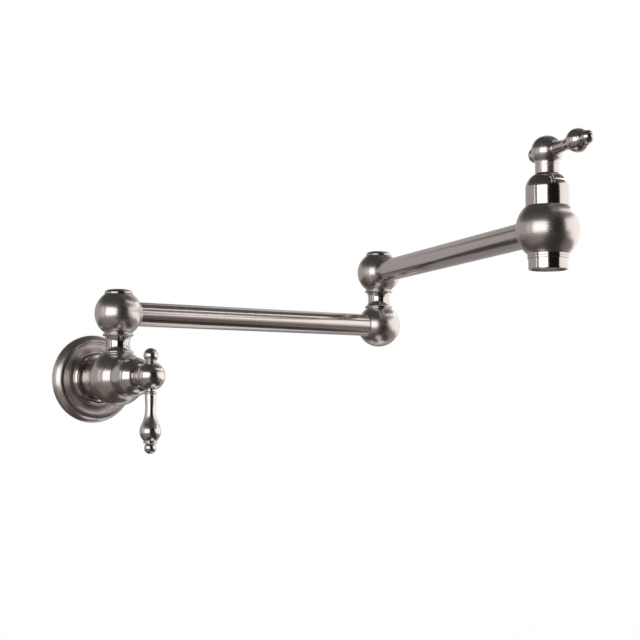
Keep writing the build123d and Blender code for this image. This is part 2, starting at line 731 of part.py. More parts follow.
def spool(name: str, column: Plane):
    """The waisted collar between two balls, with a polished ring at each end."""
    low, high = spool_base, spool_top
    with BuildPart() as collar:
        with BuildSketch(column):
            with BuildLine():
                ring_low = low + spool_foot_height
                waist_low = ring_low + spool_ring_height
                ring_high = high - spool_foot_height
                waist_high = ring_high - spool_ring_height
                low_bead = (ring_low + waist_low) / 2
                high_bead = (ring_high + waist_high) / 2
                Polyline((spool_foot_radius, ring_low), (spool_foot_radius, low),
                         (stem_radius + seat_gap, low), (stem_radius + seat_gap, high),
                         (spool_foot_radius, high), (spool_foot_radius, ring_high))
                ThreePointArc((spool_foot_radius, ring_low), (spool_ring_radius, low_bead),
                              (spool_end_radius, waist_low))
                ThreePointArc((spool_end_radius, waist_low), (spool_waist_radius, (low + high) / 2),
                              (spool_end_radius, waist_high))
                ThreePointArc((spool_end_radius, waist_high), (spool_ring_radius, high_bead),
                              (spool_foot_radius, ring_high))
            make_face()
        revolve(axis=turning_axis(column))
    collar.part.label = name
    export_step(collar.part, f"parts/{name}.step")


def stem(name: str, column: Plane):
    """The hollow swivel stem: water rises in it and leaves by the ports in its waist."""
    with BuildPart() as tube:
        with BuildSketch(column):
            with BuildLine():
                Polyline((0, spool_base - stem_foot_length), (stem_radius, spool_base - stem_foot_length),
                         (stem_radius, stem_waist_bottom), (stem_waist_radius, stem_waist_bottom),
                         (stem_waist_radius, stem_waist_top), (stem_radius, stem_waist_top),
                         (stem_radius, stem_shoulder + end_float),
                         (stem_thread_radius, stem_shoulder + end_float),
                         (stem_thread_radius, stem_thread_top), (0, stem_thread_top), close=True)
            make_face()
        revolve(axis=turning_axis(column))
        round_bore(column, stem_bore_radius, spool_base - stem_foot_length, stem_bore_top)
        port_height = (stem_waist_bottom + stem_bore_top) / 2
        for port_plane in (Plane.YZ, Plane.XZ):
            port_origin = column.origin + column.y_dir * port_height
            with BuildSketch(Plane(origin=port_origin, x_dir=port_plane.x_dir, z_dir=port_plane.z_dir)):
                Circle(stem_port_radius)
            extrude(amount=stem_radius, both=True, mode=Mode.SUBTRACT)
        for height in (lower_ring_height, upper_ring_height):
            ring_groove(column, stem_radius, height)
    tube.part.label = name
    export_step(tube.part, f"parts/{name}.step")


def stem_nut(name: str, column: Plane):
    """The hexagon nut that holds the upper ball on its stem."""
    bottom = stem_shoulder + end_float + nut_washer_height
    with BuildPart() as nut:
        with BuildSketch(across(column, bottom)):
            RegularPolygon(nut_flats / 2, 6, major_radius=False)
            Circle(stem_thread_radius + seat_gap, mode=Mode.SUBTRACT)
        extrude(amount=nut_height)
    nut.part.label = name
    export_step(nut.part, f"parts/{name}.step")


def tube_socket(centre: Vector, direction: Vector, waterway: float, waterway_start: float, stop: float):
    """Cut the socket for a tube and the waterway behind it into a ball."""
    bore = meridian(centre, up, direction)
    round_bore(bore, waterway, waterway_start, stop)
    round_bore(bore, socket_radius, stop, 2 * valve_ball_radius)


def turning_ball(name: str, column: Plane, direction: Vector):
    """A ball that turns on a stem, with a pocket for the nut and a socket for its arm's tube."""
    with BuildPart() as ball:
        with BuildSketch(column):
            with BuildLine():
                flat_angle = degrees(acos(swivel_flat_radius / swivel_ball_radius))
                CenterArc((0, 0), swivel_ball_radius, -flat_angle, 2 * flat_angle)
                Polyline((swivel_flat_radius, ball_flat), (0, ball_flat), (0, -ball_flat),
                         (swivel_flat_radius, -ball_flat))
            make_face()
        revolve(axis=turning_axis(column))
        round_bore(column, stem_radius + turning_gap, -ball_flat, ball_flat)
        round_bore(column, thrust_washer_radius + swing_room, -ball_flat, -ball_flat + washer_recess)
        round_bore(column, pocket_radius, stem_shoulder, ball_flat)
        tube_socket(column.origin, direction, ball_waterway_radius, ball_waterway_start, tube_stop)
    ball.part.label = name
    export_step(ball.part, f"parts/{name}.step")


def cap(name: str, column: Plane):
    """The domed button that closes a ball's pocket."""
    plug_outer = pocket_radius - seat_gap
    plug_inner = plug_outer - cap_plug_wall
    cap_top = ball_flat + cap_height
    edge_bottom = ball_flat + cap_chamfer
    with BuildPart() as button:
        with BuildSketch(column):
            with BuildLine():
                Polyline((0, cap_top), (0, ball_flat + cap_hollow),
                         (plug_inner, ball_flat + cap_hollow), (plug_inner, ball_flat - cap_plug_height),
                         (plug_outer, ball_flat - cap_plug_height), (plug_outer, ball_flat),
                         (swivel_flat_radius - cap_chamfer, ball_flat), (swivel_flat_radius, edge_bottom))
                Bezier((swivel_flat_radius, edge_bottom), (swivel_flat_radius, cap_top),
                       (cap_crown_radius, cap_top), (0, cap_top))
            make_face()
        revolve(axis=turning_axis(column))
    button.part.label = name
    export_step(button.part, f"parts/{name}.step")


for joint, column, ball_name, direction in (
    ("shoulder", shoulder_column, "shoulder_ball", right),
    ("elbow", elbow_column, "elbow_upper_ball", arm_direction),
):
    spool(f"{joint}_spool", column)
    stem(f"{joint}_stem", column)
    o_rings(f"{joint}_o_rings", column, stem_radius, (lower_ring_height, upper_ring_height))
    flat_washer(f"{joint}_thrust_washer", column, stem_radius + seat_gap, thrust_washer_radius,
                spool_top, spool_top + thrust_washer_height)
    flat_washer(f"{joint}_nut_washer", column, stem_thread_radius + seat_gap, nut_washer_radius,
                stem_shoulder + end_float, stem_shoulder + end_float + nut_washer_height)
    stem_nut(f"{joint}_stem_nut", column)
    turning_ball(ball_name, column, direction)
    cap(f"{joint}_cap", column)

with BuildPart() as elbow_lower_ball:
    lower_column = meridian(elbow_low_centre, right, up)
    with BuildSketch(lower_column):
        with BuildLine():
            flat_angle = degrees(acos(swivel_flat_radius / swivel_ball_radius))
            CenterArc((0, 0), swivel_ball_radius, -90, 90 + flat_angle)
            Polyline((swivel_flat_radius, ball_flat), (0, ball_flat), (0, -swivel_ball_radius))
        make_face()
    revolve(axis=turning_axis(lower_column))
    round_bore(lower_column, stem_radius + seat_gap, port_floor, ball_flat)
    tube_socket(elbow_low_centre, -right, ball_waterway_radius, 0, tube_stop)
elbow_lower_ball.part.label = "elbow_lower_ball"
export_step(elbow_lower_ball.part, "parts/elbow_lower_ball.step")

# ---------------------------------------------------------------- arm tubes
outlet_tube_stop = chamber_radius + outlet_socket_wall

for name, start, direction, length in (
    ("lower_arm_tube", shoulder_centre + right * tube_stop, right, lower_arm_span - 2 * tube_stop),
    ("upper_arm_tube", elbow_high_centre + arm_direction * tube_stop, arm_direction,
     upper_arm_span - tube_stop - outlet_tube_stop),
):
    with BuildPart() as arm_tube:
        with BuildSketch(Plane(origin=start, x_dir=up, z_dir=direction)):
            Circle(tube_radius)
            Circle(tube_radius - tube_wall, mode=Mode.SUBTRACT)
        extrude(amount=length)
    arm_tube.part.label = name
    export_step(arm_tube.part, f"parts/{name}.step")

# ---------------------------------------------------------------- outlet valve body
outlet_flat = -flat_height(valve_ball_radius, outlet_flat_radius)
thread_floor = outlet_flat + aerator_thread_length

with BuildPart() as outlet_valve_body:
    with BuildSketch(outlet_head):
        with BuildLine():
            bottom_angle = degrees(acos(outlet_flat_radius / valve_ball_radius))
            top_angle = degrees(acos(bonnet_radius / valve_ball_radius))
            CenterArc((0, 0), valve_ball_radius, -bottom_angle, bottom_angle + top_angle)
            Polyline((bonnet_radius, bonnet_seat), (0, bonnet_seat), (0, outlet_flat),
                     (outlet_flat_radius, outlet_flat))
        make_face()
    revolve(axis=turning_axis(outlet_head))
    round_bore(outlet_head, chamber_radius, chamber_floor, bonnet_seat)
    round_bore(outlet_head, body_waterway_radius, outlet_flat, chamber_floor)
    round_bore(outlet_head, aerator_thread_radius, outlet_flat, thread_floor)
    tube_socket(outlet_centre, -arm_direction, body_waterway_radius, chamber_radius - 2 * bore_overlap,
                outlet_tube_stop)
outlet_valve_body.part.label = "outlet_valve_body"
export_step(outlet_valve_body.part, "parts/outlet_valve_body.step")

# ---------------------------------------------------------------- aerator
aerator_mouth = outlet_flat - aerator_length
washer_bottom = thread_floor - aerator_washer_thickness
collar_bottom = outlet_flat - aerator_collar_height
groove_middle = outlet_flat - aerator_groove_offset
insert_radius = aerator_shell_radius - aerator_wall
screen_top = outlet_flat - screen_sink
straightener_top = screen_top - screen_thickness
straightener_bottom = aerator_mouth + aerator_recess

flat_washer("aerator_washer", outlet_head, body_waterway_radius + bore_overlap,
            aerator_thread_radius - seat_gap, washer_bottom, thread_floor)

with BuildPart() as aerator_housing:
    with BuildSketch(outlet_head):
        with BuildLine():
            Polyline(
                (aerator_thread_radius - seat_gap, outlet_flat),
                (aerator_thread_radius - seat_gap, washer_bottom),
                (aerator_entry_radius, washer_bottom),
                (aerator_entry_radius, screen_top),
                (insert_radius, screen_top),
                (insert_radius, aerator_mouth),
                (aerator_shell_radius - aerator_chamfer, aerator_mouth),
                (aerator_shell_radius, aerator_mouth + aerator_chamfer),
                (aerator_shell_radius, collar_bottom),
                (outlet_flat_radius - aerator_groove_half, collar_bottom),
                (outlet_flat_radius, collar_bottom + aerator_groove_half),
                (outlet_flat_radius, groove_middle - aerator_groove_half),
                (outlet_flat_radius - aerator_groove_depth, groove_middle),
                (outlet_flat_radius, groove_middle + aerator_groove_half),
                (outlet_flat_radius, outlet_flat),
                close=True,
            )
        make_face()
    revolve(axis=turning_axis(outlet_head))
aerator_housing.part.label = "aerator_housing"
export_step(aerator_housing.part, "parts/aerator_housing.step")

screen_count = int(2 * aerator_entry_radius / screen_pitch)
screen_grid = GridLocations(screen_pitch, screen_pitch, screen_count, screen_count).local_locations
screen_field = aerator_entry_radius - screen_opening / 2

with BuildPart() as aerator_screen:
    with BuildSketch(across(outlet_head, straightener_top)):
        Circle(insert_radius - seat_gap)
        with Locations([spot for spot in screen_grid if spot.position.length < screen_field]):
            Rectangle(screen_opening, screen_opening, mode=Mode.SUBTRACT)
    extrude(amount=screen_thickness)
aerator_screen.part.label = "aerator_screen"
export_step(aerator_screen.part, "parts/aerator_screen.step")

cell_pitch = cell_flats + cell_wall
cell_grid = HexLocations(cell_pitch / 2, cell_rows, cell_rows).local_locations
cell_field = insert_radius - cell_pitch / 2 - cell_wall

with BuildPart() as aerator_straightener:
    with BuildSketch(across(outlet_head, straightener_bottom)):
        Circle(insert_radius - seat_gap)
        with Locations([spot for spot in cell_grid if spot.position.length < cell_field]):
            RegularPolygon(cell_flats / 2, 6, major_radius=False, mode=Mode.SUBTRACT)
    extrude(amount=straightener_top - straightener_bottom)
aerator_straightener.part.label = "aerator_straightener"
export_step(aerator_straightener.part, "parts/aerator_straightener.step")
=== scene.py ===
"""Looks of a wall mounted pot filler: nickel finishes, seals, fine threads and a soft studio.

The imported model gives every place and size. This script adds the finishes, the small turned and
woven details that the plain solids leave out, the camera and the lighting.
"""

import json
import logging
import math
from dataclasses import dataclass, field
from enum import Enum
from typing import Any, ClassVar

import bmesh
import bpy
from mathutils import Matrix, Vector

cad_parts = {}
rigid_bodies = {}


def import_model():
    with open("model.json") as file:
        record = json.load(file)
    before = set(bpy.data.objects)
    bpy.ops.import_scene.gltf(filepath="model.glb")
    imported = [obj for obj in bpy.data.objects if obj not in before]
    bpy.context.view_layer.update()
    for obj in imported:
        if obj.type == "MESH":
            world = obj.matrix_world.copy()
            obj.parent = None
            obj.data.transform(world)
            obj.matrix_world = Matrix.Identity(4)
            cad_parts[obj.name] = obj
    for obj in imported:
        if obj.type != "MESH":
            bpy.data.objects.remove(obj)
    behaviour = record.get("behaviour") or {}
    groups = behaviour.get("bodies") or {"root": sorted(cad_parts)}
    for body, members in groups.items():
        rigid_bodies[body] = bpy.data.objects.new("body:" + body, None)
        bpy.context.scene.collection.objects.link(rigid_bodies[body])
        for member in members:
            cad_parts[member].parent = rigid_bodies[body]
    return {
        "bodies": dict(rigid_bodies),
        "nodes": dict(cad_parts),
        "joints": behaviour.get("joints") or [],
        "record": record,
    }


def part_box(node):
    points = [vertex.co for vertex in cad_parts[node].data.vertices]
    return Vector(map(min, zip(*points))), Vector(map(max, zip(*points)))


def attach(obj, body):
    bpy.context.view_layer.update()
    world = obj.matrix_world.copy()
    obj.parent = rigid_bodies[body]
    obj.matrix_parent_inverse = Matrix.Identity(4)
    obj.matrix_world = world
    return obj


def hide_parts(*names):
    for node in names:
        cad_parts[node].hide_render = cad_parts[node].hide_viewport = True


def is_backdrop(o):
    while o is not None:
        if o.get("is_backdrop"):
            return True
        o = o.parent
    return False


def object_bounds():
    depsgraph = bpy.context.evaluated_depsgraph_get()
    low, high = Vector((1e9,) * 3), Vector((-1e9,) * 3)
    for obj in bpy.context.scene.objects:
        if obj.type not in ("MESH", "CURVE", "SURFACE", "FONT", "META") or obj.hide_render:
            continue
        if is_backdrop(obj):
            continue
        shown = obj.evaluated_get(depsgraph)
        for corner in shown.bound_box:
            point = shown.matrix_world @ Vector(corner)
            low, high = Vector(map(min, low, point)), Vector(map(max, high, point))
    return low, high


LOG = logging.getLogger("pot_filler")
MM = 0.001
WELD = 0.001 * MM
UP = Vector((0.0, 0.0, 1.0))
SWIVEL_BALL_RADIUS = 18.5 * MM
VALVE_BALL_RADIUS = 22.0 * MM


# ------------------------------------------------------------------ node helpers
class NodeSheet:
    """Adds nodes to one shader node tree and links them."""

    def __init__(self, tree: bpy.types.NodeTree) -> None:
        """Keep the tree that the nodes go into.

        Args:
            tree: A material's, a world's or a group's node tree.
        """
        self.tree = tree

    def add(self, kind: str, inputs: dict[str, Any] | None = None, **settings: Any) -> bpy.types.Node:
        """Add one node.

        Args:
            kind: Blender's name of the node type.
            inputs: Values, or sockets to link, by the name of the input.
            **settings: Properties of the node itself.

        Returns:
            The new node.
        """
        node = self.tree.nodes.new(kind)
        for name, value in settings.items():
            setattr(node, name, value)
        for name, value in (inputs or {}).items():
            self.feed(node.inputs[name], value)
        return node

    def feed(self, target: bpy.types.NodeSocket, value: Any) -> None:
        """Give an input socket a plain value or a link.

        Args:
            target: The socket to feed.
            value: A number, a tuple or an output socket.
        """
        if isinstance(value, bpy.types.NodeSocket):
            self.tree.links.new(value, target)
        else:
            target.default_value = value

    def math(self, operation: str, *values: Any) -> bpy.types.NodeSocket:
        """Add a Math node.

        Args:
            operation: Name of the sum.
            *values: Up to three numbers or sockets.

        Returns:
            The node's result socket.
        """
        node = self.add("ShaderNodeMath", operation=operation)
        for target, value in zip(node.inputs, values):
            self.feed(target, value)
        return node.outputs["Value"]

    def vector(self, operation: str, *values: Any, scale: Any = None) -> bpy.types.Node:
        """Add a Vector Math node.

        Args:
            operation: Name of the vector sum.
            *values: Up to two vectors or sockets.
            scale: The number to scale by, for the SCALE operation.

        Returns:
            The node.
        """
        node = self.add("ShaderNodeVectorMath", operation=operation)
        for target, value in zip(node.inputs, values):
            self.feed(target, value)
        if scale is not None:
            self.feed(node.inputs["Scale"], scale)
        return node

    def noise(self, vector: Any, scale: float, detail: float = 2.0,
              roughness: float = 0.5) -> bpy.types.NodeSocket:
        """Add a noise pattern.

        Args:
            vector: The socket with the place of each point.
            scale: Size of the pattern, in features per unit.
            detail: Number of finer layers.
            roughness: Weight of the finer layers.

        Returns:
            The pattern from 0 to 1.
        """
        node = self.add("ShaderNodeTexNoise", {"Vector": vector, "Scale": scale, "Detail": detail,
                                               "Roughness": roughness})
        return node.outputs["Fac"]

    def spread(self, value: Any, low: float, high: float, to_low: float = 0.0,
               to_high: float = 1.0) -> bpy.types.NodeSocket:
        """Map a range of values onto another one, clamped.

        Args:
            value: The socket to map.
            low: Value that becomes to_low.
            high: Value that becomes to_high.
            to_low: Lower end of the result.
            to_high: Upper end of the result.

        Returns:
            The mapped value.
        """
        node = self.add("ShaderNodeMapRange", {"Value": value, "From Min": low, "From Max": high,
                                               "To Min": to_low, "To Max": to_high})
        return node.outputs["Result"]

    def blend(self, factor: Any, first: Any, second: Any, kind: str = "RGBA") -> bpy.types.NodeSocket:
        """Mix two colours or two vectors.

        Args:
            factor: Share of the second one.
            first: A value or a socket.
            second: A value or a socket.
            kind: RGBA for colours, VECTOR for vectors.

        Returns:
            The mixed value.
        """
        node = self.add("ShaderNodeMix", {"Factor": factor, "A": first, "B": second}, data_type=kind)
        return node.outputs["Result"]

    def group(self, tree: bpy.types.NodeTree, inputs: dict[str, Any]) -> bpy.types.Node:
        """Place a shared group.

        Args:
            tree: The group.
            inputs: Values, or sockets to link, by the name of the input.

        Returns:
            The group's node.
        """
        return self.add("ShaderNodeGroup", inputs, node_tree=tree)

    def show(self, surface: bpy.types.NodeSocket, kind: str = "ShaderNodeOutputMaterial") -> None:
        """Add the output node and feed its surface.

        Args:
            surface: The shader's socket.
            kind: Blender's name of the output node.
        """
        self.feed(self.add(kind).inputs["Surface"], surface)


def start_material(name: str) -> tuple[bpy.types.Material, NodeSheet]:
    """Start a material with no nodes in it.

    Args:
        name: Name of the material.

    Returns:
        The material, and a sheet to fill it with.
    """
    material = bpy.data.materials.new(name)
    material.use_nodes = True
    material.node_tree.nodes.clear()
    return material, NodeSheet(material.node_tree)


def make_group(
    name: str, inputs: dict[str, str], outputs: dict[str, str]
) -> tuple[bpy.types.NodeTree, NodeSheet, bpy.types.Node, bpy.types.Node]:
    """Start a shader node group with named sockets.

    Args:
        name: Name of the group.
        inputs: Socket type of each input, by its name.
        outputs: Socket type of each output, by its name.

    Returns:
        The group, a sheet to fill it with, and its input and output nodes.
    """
    group = bpy.data.node_groups.new(name, "ShaderNodeTree")
    for socket, kind in inputs.items():
        group.interface.new_socket(name=socket, in_out="INPUT", socket_type=f"NodeSocket{kind}")
    for socket, kind in outputs.items():
        group.interface.new_socket(name=socket, in_out="OUTPUT", socket_type=f"NodeSocket{kind}")
    sheet = NodeSheet(group)
    return group, sheet, sheet.add("NodeGroupInput"), sheet.add("NodeGroupOutput")


class SurfaceGroups:
    """The node groups that several finishes share."""

    FINE_SHARE: ClassVar[float] = 0.7
    COARSE_SHARE: ClassVar[float] = 0.3
    COARSE_SCALE: ClassVar[float] = 0.22
    STREAK_RANGE: ClassVar[tuple[float, float]] = (0.35, 0.65)
    EDGE_RANGE: ClassVar[tuple[float, float]] = (0.995, 0.90)
    EDGE_SAMPLES: ClassVar[int] = 4
    WEAR_PATCHES: ClassVar[float] = 240.0
    SMEAR_RANGE: ClassVar[tuple[float, float]] = (0.42, 0.66)
    SMEAR_DISTORTION: ClassVar[float] = 0.6

    def __init__(self) -> None:
        """Build every group once."""
        self.grain = self._grain()
        self.edge_wear = self._edge_wear()
        self.handling = self._handling()

    @classmethod
    def _grain(cls) -> bpy.types.NodeTree:
        """Fine lines left by brushing, either round a turning axis or along it.

        Returns:
            The group.
        """
        group, sheet, start, end = make_group(
            "brushed_grain",
            {"Point": "Vector", "Origin": "Vector", "Axis": "Vector", "Lines": "Float", "Run": "Float",
             "Lengthwise": "Float"},
            {"Height": "Float", "Streaks": "Float"},
        )
        offset = sheet.vector("SUBTRACT", start.outputs["Point"], start.outputs["Origin"]).outputs["Vector"]
        along = sheet.vector("DOT_PRODUCT", offset, start.outputs["Axis"]).outputs["Value"]
        axial = sheet.vector("SCALE", start.outputs["Axis"], scale=along).outputs["Vector"]
        radial = sheet.vector("SUBTRACT", offset, axial).outputs["Vector"]
        radius = sheet.vector("LENGTH", radial).outputs["Value"]
        # round the axis: the pattern changes fast with height and radius, and slowly round the piece
        rings = sheet.add("ShaderNodeCombineXYZ", {"X": along, "Y": radius}).outputs["Vector"]
        rings_fast = sheet.vector("SCALE", rings, scale=start.outputs["Lines"]).outputs["Vector"]
        rings_slow = sheet.vector("SCALE", offset, scale=start.outputs["Run"]).outputs["Vector"]
        round_point = sheet.vector("ADD", rings_fast, rings_slow).outputs["Vector"]
        # along the axis: fast across the piece, and slowly along it
        across_fast = sheet.vector("SCALE", radial, scale=start.outputs["Lines"]).outputs["Vector"]
        along_slow = sheet.vector("SCALE", axial, scale=start.outputs["Run"]).outputs["Vector"]
        long_point = sheet.vector("ADD", across_fast, along_slow).outputs["Vector"]
        point = sheet.blend(start.outputs["Lengthwise"], round_point, long_point, "VECTOR")
        fine = sheet.noise(point, scale=1.0, detail=3.0, roughness=0.65)
        coarse = sheet.noise(point, scale=cls.COARSE_SCALE, detail=2.0, roughness=0.55)
        fine_height = sheet.math("MULTIPLY", fine, cls.FINE_SHARE)
        coarse_height = sheet.math("MULTIPLY", coarse, cls.COARSE_SHARE)
        sheet.feed(end.inputs["Height"], sheet.math("ADD", fine_height, coarse_height))
        sheet.feed(end.inputs["Streaks"], sheet.spread(coarse, *cls.STREAK_RANGE))
        return group

    @classmethod
    def _edge_wear(cls) -> bpy.types.NodeTree:
        """A mask of the edges that hands and cloths rub bright.

        Returns:
            The group.
        """
        group, sheet, start, end = make_group(
            "edge_wear", {"Point": "Vector", "Reach": "Float", "Break Up": "Float"}, {"Mask": "Float"}
        )
        rounding = sheet.add("ShaderNodeBevel", {"Radius": start.outputs["Reach"]}, samples=cls.EDGE_SAMPLES)
        true_normal = sheet.add("ShaderNodeNewGeometry").outputs["Normal"]
        match = sheet.vector("DOT_PRODUCT", rounding.outputs["Normal"], true_normal).outputs["Value"]
        edge = sheet.spread(match, *cls.EDGE_RANGE)
        patches = sheet.noise(start.outputs["Point"], scale=cls.WEAR_PATCHES, detail=3.0)
        kept = sheet.math("SUBTRACT", edge, sheet.math("MULTIPLY", patches, start.outputs["Break Up"]))
        sheet.feed(end.inputs["Mask"], sheet.math("MAXIMUM", kept, 0.0))
        return group

    @classmethod
    def _handling(cls) -> bpy.types.NodeTree:
        """Faint smears and wiped patches.

        Returns:
            The group.
        """
        group, sheet, start, end = make_group(
            "handling", {"Point": "Vector", "Patch Scale": "Float"}, {"Smears": "Float"}
        )
        patches = sheet.add("ShaderNodeTexNoise", {"Vector": start.outputs["Point"], "Detail": 4.0,
                                                   "Scale": start.outputs["Patch Scale"],
                                                   "Distortion": cls.SMEAR_DISTORTION})
        sheet.feed(end.inputs["Smears"], sheet.spread(patches.outputs["Fac"], *cls.SMEAR_RANGE))
        return group


# ------------------------------------------------------------------ axes and finishes
class Brushing(Enum):
    """Which way the fine lines of a finish run."""

    ROUND = 0.0
    LENGTHWISE = 1.0


@dataclass(frozen=True)
class TurningAxis:
    """The line that a piece was turned about."""

    name: str
    origin: tuple[float, float, float]
    direction: tuple[float, float, float]


@dataclass(frozen=True)
class MetalFinish:
    """A metal surface with fine lines, smears and bright edges."""

    RUN_STRETCH: ClassVar[float] = 60.0
    STREAK_SHARE: ClassVar[float] = 0.5
    SMEAR_PATCHES: ClassVar[float] = 55.0
    SMEAR_SHARE: ClassVar[float] = 0.6
    WEAR_REACH: ClassVar[float] = 0.35 * MM
    WEAR_BREAK_UP: ClassVar[float] = 0.5
    WEAR_GAIN: ClassVar[float] = 1.25
    WEAR_POLISH: ClassVar[float] = 0.3

    name: str
    colour: tuple[float, float, float]
    shade: tuple[float, float, float]
    roughness: float
    roughness_spread: float
    lines_per_metre: float
    line_depth: float
    brushing: Brushing = Brushing.ROUND

    def dress(self, groups: SurfaceGroups, axis: TurningAxis) -> bpy.types.Material:
        """Make the material for pieces turned about one axis.

        Args:
            groups: The shared node groups.
            axis: The axis that the lines follow.

        Returns:
            The material.
        """
        name = f"{self.name}_{axis.name}"
        if name in bpy.data.materials:
            return bpy.data.materials[name]
        material, sheet = start_material(name)
        point = sheet.add("ShaderNodeTexCoord").outputs["Object"]
        grain = sheet.group(groups.grain, {
            "Point": point, "Origin": axis.origin, "Axis": axis.direction, "Lines": self.lines_per_metre,
            "Run": self.lines_per_metre / self.RUN_STRETCH, "Lengthwise": self.brushing.value})
        wear = sheet.group(groups.edge_wear, {"Point": point, "Reach": self.WEAR_REACH,
                                              "Break Up": self.WEAR_BREAK_UP})
        smears = sheet.group(groups.handling, {"Point": point, "Patch Scale": self.SMEAR_PATCHES})
        streaks = sheet.math("MULTIPLY", grain.outputs["Streaks"], self.STREAK_SHARE)
        streaked = sheet.blend(streaks, (*self.colour, 1.0), (*self.shade, 1.0))
        bright = tuple(min(1.0, channel * self.WEAR_GAIN) for channel in self.colour)
        colour = sheet.blend(wear.outputs["Mask"], streaked, (*bright, 1.0))
        from_lines = sheet.math("MULTIPLY", grain.outputs["Streaks"], self.roughness_spread)
        from_smears = sheet.math("MULTIPLY", smears.outputs["Smears"],
                                 self.SMEAR_SHARE * self.roughness_spread)
        uneven = sheet.math("ADD", from_lines, from_smears)
        rough = sheet.math("ADD", uneven, self.roughness - self.roughness_spread / 2)
        rubbed = sheet.math("MULTIPLY", wear.outputs["Mask"], self.WEAR_POLISH * self.roughness)
        bump = sheet.add("ShaderNodeBump", {"Height": grain.outputs["Height"], "Strength": 1.0,
                                            "Distance": self.line_depth})
        shader = sheet.add("ShaderNodeBsdfPrincipled",
                           {"Base Color": colour, "Metallic": 1.0,
                            "Roughness": sheet.math("SUBTRACT", rough, rubbed),
                            "Normal": bump.outputs["Normal"]})
        sheet.show(shader.outputs["BSDF"])
        return material


@dataclass(frozen=True)
class MouldedFinish:
    """Rubber, plastic or ceramic: a dull or glazed surface with a fine texture."""

    SKIN_RANGE: ClassVar[tuple[float, float]] = (0.3, 0.7)
    ROUGHNESS_SPREAD: ClassVar[float] = 0.05
    SMEAR_PATCHES: ClassVar[float] = 160.0
    WEAR_REACH: ClassVar[float] = 0.25 * MM
    WEAR_BREAK_UP: ClassVar[float] = 0.5
    WEAR_GAIN: ClassVar[float] = 1.15
    WEAR_LIFT: ClassVar[float] = 0.01

    name: str
    colour: tuple[float, float, float]
    shade: tuple[float, float, float]
    roughness: float
    texture_scale: float
    texture_depth: float

    def dress(self, groups: SurfaceGroups) -> bpy.types.Material:
        """Make the material.

        Args:
            groups: The shared node groups.

        Returns:
            The material.
        """
        if self.name in bpy.data.materials:
            return bpy.data.materials[self.name]
        material, sheet = start_material(self.name)
        point = sheet.add("ShaderNodeTexCoord").outputs["Object"]
        smears = sheet.group(groups.handling, {"Point": point, "Patch Scale": self.SMEAR_PATCHES})
        wear = sheet.group(groups.edge_wear, {"Point": point, "Reach": self.WEAR_REACH,
                                              "Break Up": self.WEAR_BREAK_UP})
        patched = sheet.blend(smears.outputs["Smears"], (*self.colour, 1.0), (*self.shade, 1.0))
        pale = tuple(min(1.0, channel * self.WEAR_GAIN + self.WEAR_LIFT) for channel in self.colour)
        colour = sheet.blend(wear.outputs["Mask"], patched, (*pale, 1.0))
        skin = sheet.noise(point, self.texture_scale)
        rough = sheet.spread(skin, *self.SKIN_RANGE, self.roughness - self.ROUGHNESS_SPREAD,
                             self.roughness + self.ROUGHNESS_SPREAD)
        bump = sheet.add("ShaderNodeBump", {"Height": skin, "Strength": 1.0, "Distance": self.texture_depth})
        shader = sheet.add("ShaderNodeBsdfPrincipled",
                           {"Base Color": colour, "Metallic": 0.0, "Roughness": rough,
                            "Normal": bump.outputs["Normal"]})
        sheet.show(shader.outputs["BSDF"])
        return material


# satin: balls, outlet body, outlet handle hub and fillets
SATIN_NICKEL = MetalFinish(
    "satin_nickel", colour=(0.650, 0.603, 0.578), shade=(0.590, 0.545, 0.520), roughness=0.27,
    roughness_spread=0.05, lines_per_metre=4200.0, line_depth=0.0009 * MM)
# a little paler: the wall flange
FLANGE_NICKEL = MetalFinish(
    "flange_nickel", colour=(0.670, 0.622, 0.596), shade=(0.610, 0.564, 0.538), roughness=0.28,
    roughness_spread=0.05, lines_per_metre=4200.0, line_depth=0.0009 * MM)
# a little glossier: the wall valve's body
TURNED_NICKEL = MetalFinish(
    "turned_nickel", colour=(0.640, 0.594, 0.569), shade=(0.580, 0.536, 0.511), roughness=0.24,
    roughness_spread=0.06, lines_per_metre=4200.0, line_depth=0.0010 * MM)
# brushed along: the tubes of the arms
SATIN_TUBE = MetalFinish(
    "satin_tube", colour=(0.650, 0.603, 0.578), shade=(0.590, 0.545, 0.520), roughness=0.18,
    roughness_spread=0.04, lines_per_metre=4600.0, line_depth=0.0008 * MM, brushing=Brushing.LENGTHWISE)
# polished: outlet bonnet, spools, caps, aerator housing and lock ring. Its colour is darker than the other
# nickel: painted shade that dims the reflections on these parts
POLISHED_SHADED_NICKEL = MetalFinish(
    "polished_nickel", colour=(0.600, 0.562, 0.543), shade=(0.565, 0.528, 0.510), roughness=0.13,
    roughness_spread=0.04, lines_per_metre=5600.0, line_depth=0.0010 * MM)
# a softer polish: levers, finials, wall handle hub and wall bonnet
HANDLE_NICKEL = MetalFinish(
    "handle_nickel", colour=(0.690, 0.646, 0.623), shade=(0.650, 0.607, 0.585), roughness=0.19,
    roughness_spread=0.05, lines_per_metre=5200.0, line_depth=0.0008 * MM)
